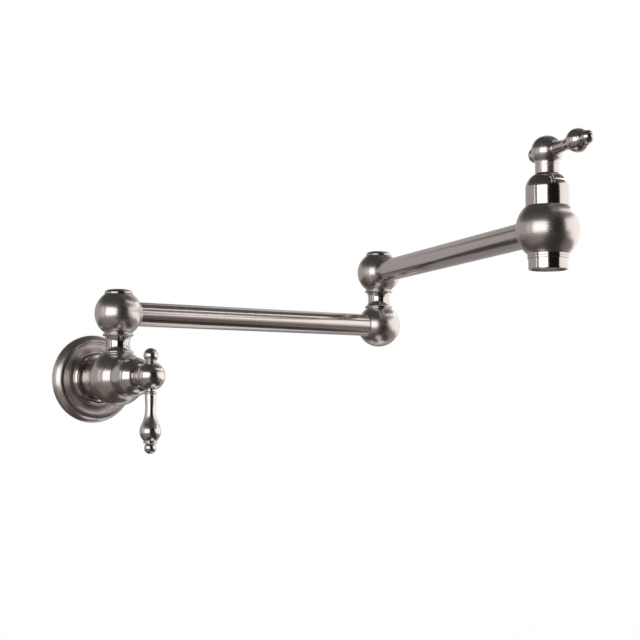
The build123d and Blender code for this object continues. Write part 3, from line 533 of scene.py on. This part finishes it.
# hidden inside
TURNED_BRASS = MetalFinish(
    "turned_brass", colour=(0.720, 0.540, 0.270), shade=(0.600, 0.430, 0.200), roughness=0.28,
    roughness_spread=0.10, lines_per_metre=2400.0, line_depth=0.006 * MM)
STAINLESS_STEEL = MetalFinish(
    "stainless_steel", colour=(0.580, 0.575, 0.565), shade=(0.480, 0.475, 0.465), roughness=0.26,
    roughness_spread=0.08, lines_per_metre=4200.0, line_depth=0.003 * MM)
BLACK_RUBBER = MouldedFinish(
    "black_rubber", colour=(0.022, 0.022, 0.023), shade=(0.035, 0.034, 0.034), roughness=0.62,
    texture_scale=3200.0, texture_depth=0.012 * MM)
WHITE_CERAMIC = MouldedFinish(
    "white_ceramic", colour=(0.840, 0.825, 0.790), shade=(0.780, 0.765, 0.730), roughness=0.22,
    texture_scale=2400.0, texture_depth=0.002 * MM)
WHITE_PLASTIC = MouldedFinish(
    "white_plastic", colour=(0.760, 0.760, 0.745), shade=(0.700, 0.700, 0.685), roughness=0.42,
    texture_scale=1600.0, texture_depth=0.006 * MM)


# ------------------------------------------------------------------ studio
@dataclass(frozen=True)
class PhotoCamera:
    """The photograph's viewing place, angle and lens. Its heading and rise are in degrees."""

    place: tuple[float, float, float] = (-0.50220, -1.03900, -0.03230)
    heading: float = 34.922
    rise: float = 4.011
    focal_pixels: float = 1417.0
    picture_pixels: float = 640.0
    sensor: float = 36.0
    nearest: float = 0.01

    def build(self) -> None:
        """Create the camera and make it the scene's own."""
        heading = math.radians(self.heading)
        rise = math.radians(self.rise)
        forward = Vector((math.sin(heading) * math.cos(rise), math.cos(heading) * math.cos(rise),
                          math.sin(rise)))
        right = Vector((math.cos(heading), -math.sin(heading), 0.0))
        data = bpy.data.cameras.new("photo_camera")
        data.sensor_width = self.sensor
        data.lens = self.focal_pixels / self.picture_pixels * self.sensor
        data.clip_start = self.nearest
        camera = bpy.data.objects.new("photo_camera", data)
        turn = Matrix((right, right.cross(forward), -forward)).transposed().to_4x4()
        camera.matrix_world = Matrix.Translation(self.place) @ turn
        bpy.context.scene.collection.objects.link(camera)
        bpy.context.scene.camera = camera


@dataclass(frozen=True)
class Card:
    """A curved studio card or soft box, placed by the directions that it covers.

    Angles are in degrees. Bearings are seen from the object, 0 towards the camera and positive to the
    camera's right. Heights are above the object's own level. The strength runs evenly from the first
    bearing to the second. A card with a lean is built level and then tipped towards lean_bearing.
    """

    name: str
    bearing: tuple[float, float]
    height: tuple[float, float]
    colour: tuple[float, float, float]
    strength: tuple[float, float]
    lean: float = 0.0
    lean_bearing: float = 0.0
    distance: float = 2.0


# tints of the cards
COOL = (1.0, 0.985, 0.975)
ROSE = (1.0, 0.955, 0.945)
WARM = (1.0, 0.91, 0.87)
GREY = (0.98, 1.0, 0.95)
DUSK = (1.0, 0.86, 0.79)


@dataclass
class Studio:
    """Pale floor, white surroundings, soft boxes and the dark cards between them.

    Angles are in degrees.
    """

    SHARE: ClassVar[str] = "share"
    STEPS: ClassVar[int] = 24

    centre: Vector
    camera_heading: float
    floor_drop: float = 0.60
    floor_half_width: float = 30.0
    floor_tone: float = 0.97
    card_gap: float = 0.03
    lamp_power: float = 1.2
    lamp_width: float = 25.0
    lamp_tilt: tuple[float, float] = (28.0, -14.0)
    daylight: float = 0.70
    cards: tuple[Card, ...] = (
        # level with the object, from the left round the front to the right
        Card("left_back", (-180.0, -150.0), (0.0, 40.0), ROSE, (0.46, 0.48)),
        Card("left_back_low", (-180.0, -150.0), (-40.0, 0.0), ROSE, (0.30, 0.32)),
        Card("right_back", (152.0, 180.0), (-4.0, 54.0), ROSE, (0.74, 0.66)),
        Card("right_back_low", (152.0, 180.0), (-46.0, -4.0), ROSE, (0.44, 0.34)),
        Card("left_above", (-150.0, -6.0), (22.0, 30.0), GREY, (0.16, 0.10)),
        Card("key_left", (-150.0, -79.0), (-12.0, 22.0), ROSE, (0.47, 0.50)),
        Card("key_left_edge", (-79.0, -72.0), (-12.0, 22.0), COOL, (1.40, 1.40)),
        Card("gap_line", (-72.0, -61.0), (-12.0, 22.0), DUSK, (0.05, 0.05)),
        Card("key_soft_box", (-61.0, -6.0), (-12.0, 22.0), COOL, (2.10, 2.10)),
        Card("front_gap", (-6.0, 58.0), (-12.0, 30.0), DUSK, (0.012, 0.012)),
        Card("side_soft_edge", (58.0, 80.0), (-4.0, 27.0), ROSE, (1.34, 1.40)),
        Card("side_soft_box", (80.0, 152.0), (-17.0, 28.0), ROSE, (1.46, 1.38)),
        Card("side_below", (58.0, 80.0), (-17.0, -4.0), WARM, (0.24, 0.70)),
        Card("side_above", (58.0, 152.0), (28.0, 46.0), WARM, (0.14, 0.34)),
        # overhead
        Card("ceiling_left", (-180.0, 58.0), (30.0, 90.0), GREY, (0.10, 0.05)),
        Card("ceiling_right", (58.0, 152.0), (46.0, 90.0), GREY, (0.11, 0.11)),
        Card("ceiling_back", (152.0, 180.0), (54.0, 90.0), GREY, (0.11, 0.11)),
        Card("strip_lamp", (30.0, 168.0), (36.5, 42.5), COOL, (1.90, 2.50), 22.8, -173.0, 1.9),
        # below
        Card("low_left_back", (-150.0, -104.0), (-50.0, -12.0), DUSK, (0.06, 0.13)),
        Card("low_left", (-104.0, -15.0), (-50.0, -12.0), WARM, (0.22, 0.30)),
        Card("low_left_dark", (-180.0, -15.0), (-78.0, -50.0), DUSK, (0.09, 0.07)),
        Card("low_front", (-15.0, 62.0), (-78.0, -12.0), DUSK, (0.06, 0.03)),
        Card("low_right", (62.0, 150.0), (-46.0, -17.0), WARM, (0.14, 0.42)),
        Card("low_right_dark", (62.0, 150.0), (-78.0, -46.0), DUSK, (0.05, 0.05)),
    )

    def build(self) -> None:
        """Make the floor, the cards and the world."""
        self._floor()
        for card in self.cards:
            self._card(card)
        self._lamp()
        self._world()

    def _paint(self, card: Card) -> bpy.types.Material:
        """Make a card's glowing material, where a strength of 1 is white.

        Args:
            card: The card to paint.

        Returns:
            The material.
        """
        material, sheet = start_material(card.name)
        share = sheet.add("ShaderNodeAttribute", attribute_name=self.SHARE).outputs["Fac"]
        strength = sheet.spread(share, 0.0, 1.0, *card.strength)
        glow = sheet.add("ShaderNodeEmission", {"Color": (*card.colour, 1.0), "Strength": strength})
        sheet.show(glow.outputs["Emission"])
        return material

    @staticmethod
    def _stage(name: str, shape: bmesh.types.BMesh, material: bpy.types.Material, shown: bool) -> None:
        """Turn a mesh into a piece of the stage.

        Args:
            name: Name of the piece.
            shape: Its mesh, which is freed.
            material: Its material.
            shown: Whether the camera sees it directly.
        """
        mesh = bpy.data.meshes.new(name)
        shape.to_mesh(mesh)
        shape.free()
        mesh.materials.append(material)
        piece = bpy.data.objects.new(name, mesh)
        bpy.context.scene.collection.objects.link(piece)
        if not shown:
            piece.visible_camera = piece.visible_diffuse = piece.visible_shadow = False
        piece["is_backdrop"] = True

    def _card(self, card: Card) -> None:
        """Bend one card round the object.

        Args:
            card: The card to make.
        """
        start, end = (math.radians(value) for value in card.bearing)
        heading = math.radians(self.camera_heading)
        towards_camera = Vector((-math.sin(heading), -math.cos(heading), 0.0))
        side = Matrix.Rotation(start, 3, "Z") @ towards_camera
        shape = bmesh.new()
        ends = []
        for height in card.height:
            rise = math.radians(height)
            reach = card.distance
            if rise < 0:
                reach = min(reach, (self.floor_drop - self.card_gap) / math.sin(-rise))
            place = side * reach * math.cos(rise) + UP * reach * math.sin(rise)
            ends.append(shape.verts.new(self.centre + place))
        edge = shape.edges.new(ends)
        bmesh.ops.spin(shape, geom=[*ends, edge], cent=self.centre, axis=UP, angle=end - start,
                       steps=self.STEPS, use_duplicate=False)
        share = shape.verts.layers.float.new(self.SHARE)
        for index, vertex in enumerate(shape.verts):
            vertex[share] = index // len(ends) / self.STEPS
        if card.lean:
            lean_to = Matrix.Rotation(math.radians(card.lean_bearing), 3, "Z") @ towards_camera
            bmesh.ops.rotate(shape, cent=self.centre, verts=shape.verts,
                             matrix=Matrix.Rotation(math.radians(card.lean), 3, UP.cross(lean_to)))
        bmesh.ops.remove_doubles(shape, verts=shape.verts, dist=WELD)
        self._stage(card.name, shape, self._paint(card), False)

    def _floor(self) -> None:
        """Lay a plain pale floor that looks white and keeps a soft shadow."""
        shape = bmesh.new()
        bmesh.ops.create_grid(shape, x_segments=1, y_segments=1, size=self.floor_half_width)
        bmesh.ops.translate(shape, vec=(0.0, 0.0, self.centre.z - self.floor_drop), verts=shape.verts)
        material, sheet = start_material("pale_floor")
        tone = self.floor_tone
        sheet.show(sheet.add("ShaderNodeBsdfDiffuse", {"Color": (tone, tone, tone, 1.0)}).outputs["BSDF"])
        self._stage("floor", shape, material, True)

    def _lamp(self) -> None:
        """Hang one wide soft lamp, for the shadow on the floor."""
        data = bpy.data.lights.new("soft_lamp", "SUN")
        data.energy = self.lamp_power
        data.angle = math.radians(self.lamp_width)
        lamp = bpy.data.objects.new("soft_lamp", data)
        lamp.rotation_euler = (*(math.radians(value) for value in self.lamp_tilt), 0.0)
        lamp.visible_glossy = False
        bpy.context.scene.collection.objects.link(lamp)

    def _world(self) -> None:
        """Light the set evenly and show white behind the object and in its reflections."""
        world = bpy.data.worlds.new("studio")
        bpy.context.scene.world = world
        world.use_nodes = True
        world.node_tree.nodes.clear()
        sheet = NodeSheet(world.node_tree)
        path = sheet.add("ShaderNodeLightPath")
        seen = sheet.math("MAXIMUM", path.outputs["Is Camera Ray"], path.outputs["Is Glossy Ray"])
        seen = sheet.math("MAXIMUM", seen, path.outputs["Is Transmission Ray"])
        strength = sheet.spread(seen, 0.0, 1.0, self.daylight, 1.0)
        sky = sheet.add("ShaderNodeBackground", {"Color": (1.0, 1.0, 1.0, 1.0), "Strength": strength})
        sheet.show(sky.outputs["Background"], "ShaderNodeOutputWorld")


# ------------------------------------------------------------------ the object
@dataclass
class Workshop:
    """What every sub-assembly needs: the frame, the groups and the axes."""

    UPRIGHT: ClassVar[float] = 0.5

    frame: dict[str, Any]
    groups: SurfaceGroups
    axes: dict[str, TurningAxis] = field(default_factory=dict)

    def __post_init__(self) -> None:
        """Read the turning axes from the frame's joints and nodes."""
        joints = {joint["name"]: joint for joint in self.frame["joints"]}
        for name, joint in joints.items():
            self.add_axis(name, Vector(joint["pos_m"]), Vector(joint["axis"]))
        elbow, outlet = (Vector(joints[name]["pos_m"]) for name in ("elbow_swivel", "outlet_handle_turn"))
        for name, node, direction in (
            ("lower_arm", "lower_arm_tube", Vector((1.0, 0.0, 0.0))),
            ("upper_arm", "upper_arm_tube", outlet - elbow),
            ("wall_lever", "wall_lever", UP),
            ("outlet_lever", "outlet_lever", outlet - elbow),
            ("set_screw", "neck_set_screw", UP),
        ):
            self.add_axis(name, self.middle(node), direction)

    def add_axis(self, name: str, origin: Vector, direction: Vector) -> None:
        """Keep a turning axis under a name.

        Args:
            name: Its name.
            origin: A point on it.
            direction: Which way it runs, of any length. One under UPRIGHT high is made level.
        """
        height = direction.z if abs(direction.z) > self.UPRIGHT else 0.0
        level = Vector((direction.x, direction.y, height))
        self.axes[name] = TurningAxis(name, tuple(origin), tuple(level.normalized()))

    @staticmethod
    def middle(node: str) -> Vector:
        """The middle of a node's box."""
        low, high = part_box(node)
        return (low + high) / 2

    def dress(self, nodes: tuple[str, ...], finish: MetalFinish | MouldedFinish, axis: str = "") -> None:
        """Give CAD nodes a finish.

        Args:
            nodes: Names of the nodes.
            finish: The finish.
            axis: Name of the turning axis, for a metal.
        """
        if isinstance(finish, MetalFinish):
            material = finish.dress(self.groups, self.axes[axis])
        else:
            material = finish.dress(self.groups)
        for node in nodes:
            for slot in self.frame["nodes"][node].material_slots:
                slot.material = material
            LOG.info("%s has the finish %s", node, material.name)

    def add_piece(self, name: str, shape: bmesh.types.BMesh, finish: MetalFinish, axis: str,
                  body: str, slot: str) -> bpy.types.Object:
        """Turn a finished mesh into a piece of the object.

        Args:
            name: Name of the piece.
            shape: Its mesh in the object's frame, which is freed.
            finish: Its finish.
            axis: Name of the turning axis that the finish follows.
            body: The moving body that carries it.
            slot: The record's material slot. It is not used.

        Returns:
            The piece.
        """
        bmesh.ops.remove_doubles(shape, verts=shape.verts, dist=WELD)
        bmesh.ops.recalc_face_normals(shape, faces=shape.faces)
        for face in shape.faces:
            face.smooth = True
        mesh = bpy.data.meshes.new(name)
        shape.to_mesh(mesh)
        shape.free()
        mesh.materials.append(finish.dress(self.groups, self.axes[axis]))
        piece = bpy.data.objects.new(name, mesh)
        bpy.context.scene.collection.objects.link(piece)
        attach(piece, body)
        LOG.info("%s rides on %s", name, body)
        return piece


def stand(origin: Vector, direction: Vector) -> Matrix:
    """Matrix that stands a shape made round +Z on a place, with +Z along a direction.

    Args:
        origin: Where the shape's origin goes.
        direction: Where its +Z goes.

    Returns:
        The matrix.
    """
    return Matrix.Translation(origin) @ direction.to_track_quat("Z", "Y").to_matrix().to_4x4()


def draw_loop(
    shape: bmesh.types.BMesh, profile: list[tuple[float, float]]
) -> list[bmesh.types.BMVert | bmesh.types.BMEdge]:
    """Draw a closed profile in the plane of X and Z.

    Args:
        shape: The mesh that gets the profile.
        profile: Radius and height of each corner.

    Returns:
        Its corners and edges.
    """
    corners = [shape.verts.new((radius, 0.0, height)) for radius, height in profile]
    edges = [shape.edges.new(pair) for pair in zip(corners, corners[1:] + corners[:1])]
    return corners + edges


def turned(profile: list[tuple[float, float]], steps: int) -> bmesh.types.BMesh:
    """Turn a closed profile right round +Z.

    Args:
        profile: Radius and height of each corner.
        steps: Number of steps round the axis.

    Returns:
        The mesh.
    """
    shape = bmesh.new()
    bmesh.ops.spin(shape, geom=draw_loop(shape, profile), cent=(0.0, 0.0, 0.0), axis=UP,
                   angle=2 * math.pi, steps=steps, use_merge=True, use_duplicate=False)
    return shape


@dataclass
class InletThread:
    """The helical thread in the inlet connector's bore, cut for a half-inch pipe."""

    shop: Workshop
    bore_radius: float = 10.48 * MM
    crest_radius: float = 9.35 * MM
    pitch: float = 1.814 * MM
    first_turn: float = 1.0 * MM
    turns: float = 6.2
    steps_a_turn: int = 40
    root_half: float = 0.80 * MM
    crest_half: float = 0.18 * MM
    sink: float = 0.04 * MM

    def build(self) -> None:
        """Wind the thread's ridge into the bore."""
        shape = bmesh.new()
        foot = self.bore_radius + self.sink
        profile = [(foot, -self.root_half), (self.crest_radius, -self.crest_half),
                   (self.crest_radius, self.crest_half), (foot, self.root_half)]
        bmesh.ops.spin(shape, geom=draw_loop(shape, profile), cent=(0.0, 0.0, 0.0), axis=UP,
                       dvec=UP * (self.pitch / self.steps_a_turn), angle=self.turns * 2 * math.pi,
                       steps=round(self.turns * self.steps_a_turn), use_duplicate=False)
        bmesh.ops.holes_fill(shape, edges=shape.edges, sides=len(profile))
        bmesh.ops.transform(shape, verts=shape.verts,
                            matrix=stand(Vector((0.0, -self.first_turn, 0.0)), Vector((0.0, -1.0, 0.0))))
        self.shop.add_piece("inlet_thread_ridge", shape, TURNED_BRASS, "wall_handle_turn", "wall_valve",
                            "raw_brass")


@dataclass
class SolderFillet:
    """The small smooth fillet where an arm's tube enters a ball. Its arm names its body and its axis."""

    CURVE: ClassVar[tuple[float, ...]] = (0.0, 0.25, 0.5, 0.75, 1.0)

    shop: Workshop
    name: str
    centre: Vector
    direction: Vector
    ball_radius: float
    arm: str
    tube_radius: float = 9.5 * MM
    width: float = 0.7 * MM
    root: float = 0.25 * MM
    steps: int = 96

    def build(self) -> None:
        """Turn the fillet round the tube."""
        foot = self.tube_radius + self.width
        corner = Vector((self.tube_radius, math.sqrt(self.ball_radius**2 - self.tube_radius**2)))
        on_tube = corner + Vector((0.0, self.width))
        on_ball = Vector((foot, math.sqrt(self.ball_radius**2 - foot**2)))
        curve = [on_tube * (1 - share) ** 2 + corner * 2 * share * (1 - share) + on_ball * share**2
                 for share in self.CURVE]
        inside = corner - Vector((self.root, self.root))
        shape = turned([tuple(point) for point in [*curve, inside]], self.steps)
        bmesh.ops.transform(shape, verts=shape.verts, matrix=stand(self.centre, self.direction))
        self.shop.add_piece(self.name, shape, SATIN_NICKEL, self.arm, self.arm, "satin_nickel")


@dataclass
class WovenScreen:
    """The aerator's screen: fine wires woven over and under, bound by a flat rim.

    Edges of the rim that bend by more than rim_edge_angle, in radians, are rounded.
    """

    shop: Workshop
    wire_radius: float = 0.11 * MM
    wire_sides: int = 6
    pitch: float = 0.95 * MM
    rim_width: float = 1.2 * MM
    rim_rounding: float = 0.12 * MM
    rim_steps: int = 72
    rim_edge_angle: float = 1.0
    points_a_wave: int = 4

    def build(self) -> None:
        """Weave the wires, add the rim and put the screen in the place of its plain plate."""
        low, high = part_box("aerator_screen")
        middle = (low + high) / 2
        radius = (high.x - low.x) / 2
        half_height = (high.z - low.z) / 2
        shape = bmesh.new()
        reach = radius - self.rim_width / 2
        count = int(reach / self.pitch)
        for turn in (0.0, math.pi / 2):
            for index in range(-count, count + 1):
                self._wire(shape, index, turn, reach)
        inner = radius - self.rim_width
        rim = turned([(inner, -half_height), (radius, -half_height), (radius, half_height),
                      (inner, half_height)], self.rim_steps)
        sharp = [edge for edge in rim.edges if edge.calc_face_angle(0.0) > self.rim_edge_angle]
        bmesh.ops.bevel(rim, geom=sharp, offset=self.rim_rounding, affect="EDGES", segments=2, profile=0.5,
                        material=-1)
        self._join(shape, rim)
        bmesh.ops.translate(shape, verts=shape.verts, vec=middle)
        piece = self.shop.add_piece("woven_aerator_screen", shape, STAINLESS_STEEL, "outlet_handle_turn",
                                    "upper_arm", "stainless_steel")
        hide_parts("aerator_screen")

    def _wire(self, shape: bmesh.types.BMesh, index: int, turn: float, reach: float) -> None:
        """Draw one wavy wire across the screen.

        Args:
            shape: The screen's mesh, which gets the wire.
            index: The wire's place, counted from the middle.
            turn: Which way the wire runs.
            reach: How far the wires run from the screen's middle.
        """
        offset = index * self.pitch
        step = 2 * self.pitch / self.points_a_wave
        count = int(math.sqrt(reach**2 - offset**2) / step)
        side = 1 if (index % 2 == 0) == (turn == 0.0) else -1
        wire = bmesh.new()
        ring = bmesh.ops.create_circle(wire, cap_ends=False, segments=self.wire_sides,
                                       radius=self.wire_radius)["verts"]
        start = Matrix.Translation((-count * step, 0.0, 0.0)) @ Matrix.Rotation(math.pi / 2, 4, "Y")
        bmesh.ops.transform(wire, verts=ring, matrix=start)
        bmesh.ops.spin(wire, geom=[*wire.verts, *wire.edges], cent=(0.0, 0.0, 0.0), axis=UP,
                       dvec=(step, 0.0, 0.0), angle=0.0, steps=2 * count, use_duplicate=False)
        bmesh.ops.holes_fill(wire, edges=wire.edges, sides=self.wire_sides)
        for vertex in wire.verts:
            vertex.co.z += side * self.wire_radius * math.cos(math.pi * vertex.co.x / self.pitch)
        bmesh.ops.transform(wire, verts=wire.verts,
                            matrix=Matrix.Rotation(turn, 4, "Z") @ Matrix.Translation((0.0, offset, 0.0)))
        self._join(shape, wire)

    @staticmethod
    def _join(shape: bmesh.types.BMesh, part: bmesh.types.BMesh) -> None:
        """Add a part to a mesh.

        Args:
            shape: The mesh that grows.
            part: The part, which is freed.
        """
        mesh = bpy.data.meshes.new("part")
        part.to_mesh(mesh)
        part.free()
        shape.from_mesh(mesh)
        bpy.data.meshes.remove(mesh)


@dataclass
class FoldingArm:
    """One arm: its tube, and a fillet where the tube enters each of its two balls.

    Each end gives the ball's name, centre and radius.
    """

    shop: Workshop
    side: str
    ends: tuple[tuple[str, Vector, float], ...]

    def build(self) -> None:
        """Dress the tube and turn both fillets."""
        arm = f"{self.side}_arm"
        self.shop.dress((f"{arm}_tube",), SATIN_TUBE, arm)
        (_, start, _), (_, end, _) = self.ends
        for (ball, centre, radius), direction in zip(self.ends, (end - start, start - end)):
            SolderFillet(self.shop, f"{ball}_fillet", centre, direction, radius, arm).build()


@dataclass
class WallMount:
    """Flange, inlet connector and the wall valve's body."""

    shop: Workshop

    def build(self) -> None:
        """Dress the pieces that stay on the wall and cut the inlet's thread."""
        InletThread(self.shop).build()
        axis = "wall_handle_turn"
        self.shop.dress(("wall_flange",), FLANGE_NICKEL, axis)
        self.shop.dress(("wall_valve_body",), TURNED_NICKEL, axis)
        self.shop.dress(("flange_lock_ring",), POLISHED_SHADED_NICKEL, axis)
        self.shop.dress(("inlet_connector",), TURNED_BRASS, axis)
        self.shop.dress(("inlet_o_rings", "inlet_seal_washer", "flange_gasket"), BLACK_RUBBER)
        self.shop.dress(("neck_set_screw",), STAINLESS_STEEL, "set_screw")


@dataclass
class QuarterTurnValve:
    """One ceramic valve with its bonnet, handle hub, lever and finial.

    The bonnet and the hub have their own finish at the wall and at the outlet.
    """

    shop: Workshop
    side: str
    bonnet: MetalFinish
    hub: MetalFinish

    def build(self) -> None:
        """Dress the valve's pieces."""
        turn = f"{self.side}_handle_turn"
        bar = f"{self.side}_lever"
        for parts, finish, axis in (
            (("bonnet",), self.bonnet, turn),
            (("handle_hub",), self.hub, turn),
            (("lever", "finial"), HANDLE_NICKEL, bar),
            (("cartridge_body", "spindle"), TURNED_BRASS, turn),
            (("spindle_clip",), STAINLESS_STEEL, turn),
            (("fixed_disc", "moving_disc"), WHITE_CERAMIC, ""),
            (("cartridge_seal", "spindle_o_rings"), BLACK_RUBBER, ""),
        ):
            self.shop.dress(tuple(f"{self.side}_{part}" for part in parts), finish, axis)


@dataclass
class SwivelJoint:
    """Spool, hollow stem, seals and the ball that turns on them."""

    shop: Workshop
    name: str
    balls: tuple[str, ...]

    def build(self) -> None:
        """Dress the joint's pieces."""
        turn = f"{self.name}_swivel"
        self.shop.dress(self.balls, SATIN_NICKEL, turn)
        for parts, finish, axis in (
            (("spool", "cap"), POLISHED_SHADED_NICKEL, turn),
            (("stem", "stem_nut", "nut_washer"), TURNED_BRASS, turn),
            (("thrust_washer",), WHITE_PLASTIC, ""),
            (("o_rings",), BLACK_RUBBER, ""),
        ):
            self.shop.dress(tuple(f"{self.name}_{part}" for part in parts), finish, axis)


@dataclass
class Outlet:
    """The outlet valve's body and the aerator under it."""

    shop: Workshop

    def build(self) -> None:
        """Dress the outlet's pieces."""
        axis = "outlet_handle_turn"
        self.shop.dress(("outlet_valve_body",), SATIN_NICKEL, axis)
        self.shop.dress(("aerator_housing",), POLISHED_SHADED_NICKEL, axis)
        WovenScreen(self.shop).build()
        self.shop.dress(("aerator_straightener",), WHITE_PLASTIC)
        self.shop.dress(("aerator_washer",), BLACK_RUBBER)


def main() -> None:
    """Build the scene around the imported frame."""
    logging.basicConfig(level=logging.INFO, format="%(message)s")
    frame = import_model()
    cad_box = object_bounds()
    bpy.context.scene.view_settings.view_transform = "Standard"
    camera = PhotoCamera()
    camera.build()
    shop = Workshop(frame, SurfaceGroups())
    WallMount(shop).build()
    QuarterTurnValve(shop, "wall", HANDLE_NICKEL, HANDLE_NICKEL).build()
    QuarterTurnValve(shop, "outlet", POLISHED_SHADED_NICKEL, SATIN_NICKEL).build()
    SwivelJoint(shop, "shoulder", ("shoulder_ball",)).build()
    SwivelJoint(shop, "elbow", ("elbow_lower_ball", "elbow_upper_ball")).build()
    shoulder, elbow, outlet = (Vector(shop.axes[name].origin)
                               for name in ("shoulder_swivel", "elbow_swivel", "outlet_handle_turn"))
    elbow_low = Vector((elbow.x, elbow.y, shoulder.z))
    FoldingArm(shop, "lower", (("shoulder_ball", shoulder, SWIVEL_BALL_RADIUS),
                               ("elbow_lower_ball", elbow_low, SWIVEL_BALL_RADIUS))).build()
    FoldingArm(shop, "upper", (("elbow_upper_ball", elbow, SWIVEL_BALL_RADIUS),
                               ("outlet_valve", outlet, VALVE_BALL_RADIUS))).build()
    Outlet(shop).build()
    low, high = (Vector(corner) for corner in cad_box)
    Studio((low + high) / 2, camera.heading).build()


if __name__ == "__main__":
    main()
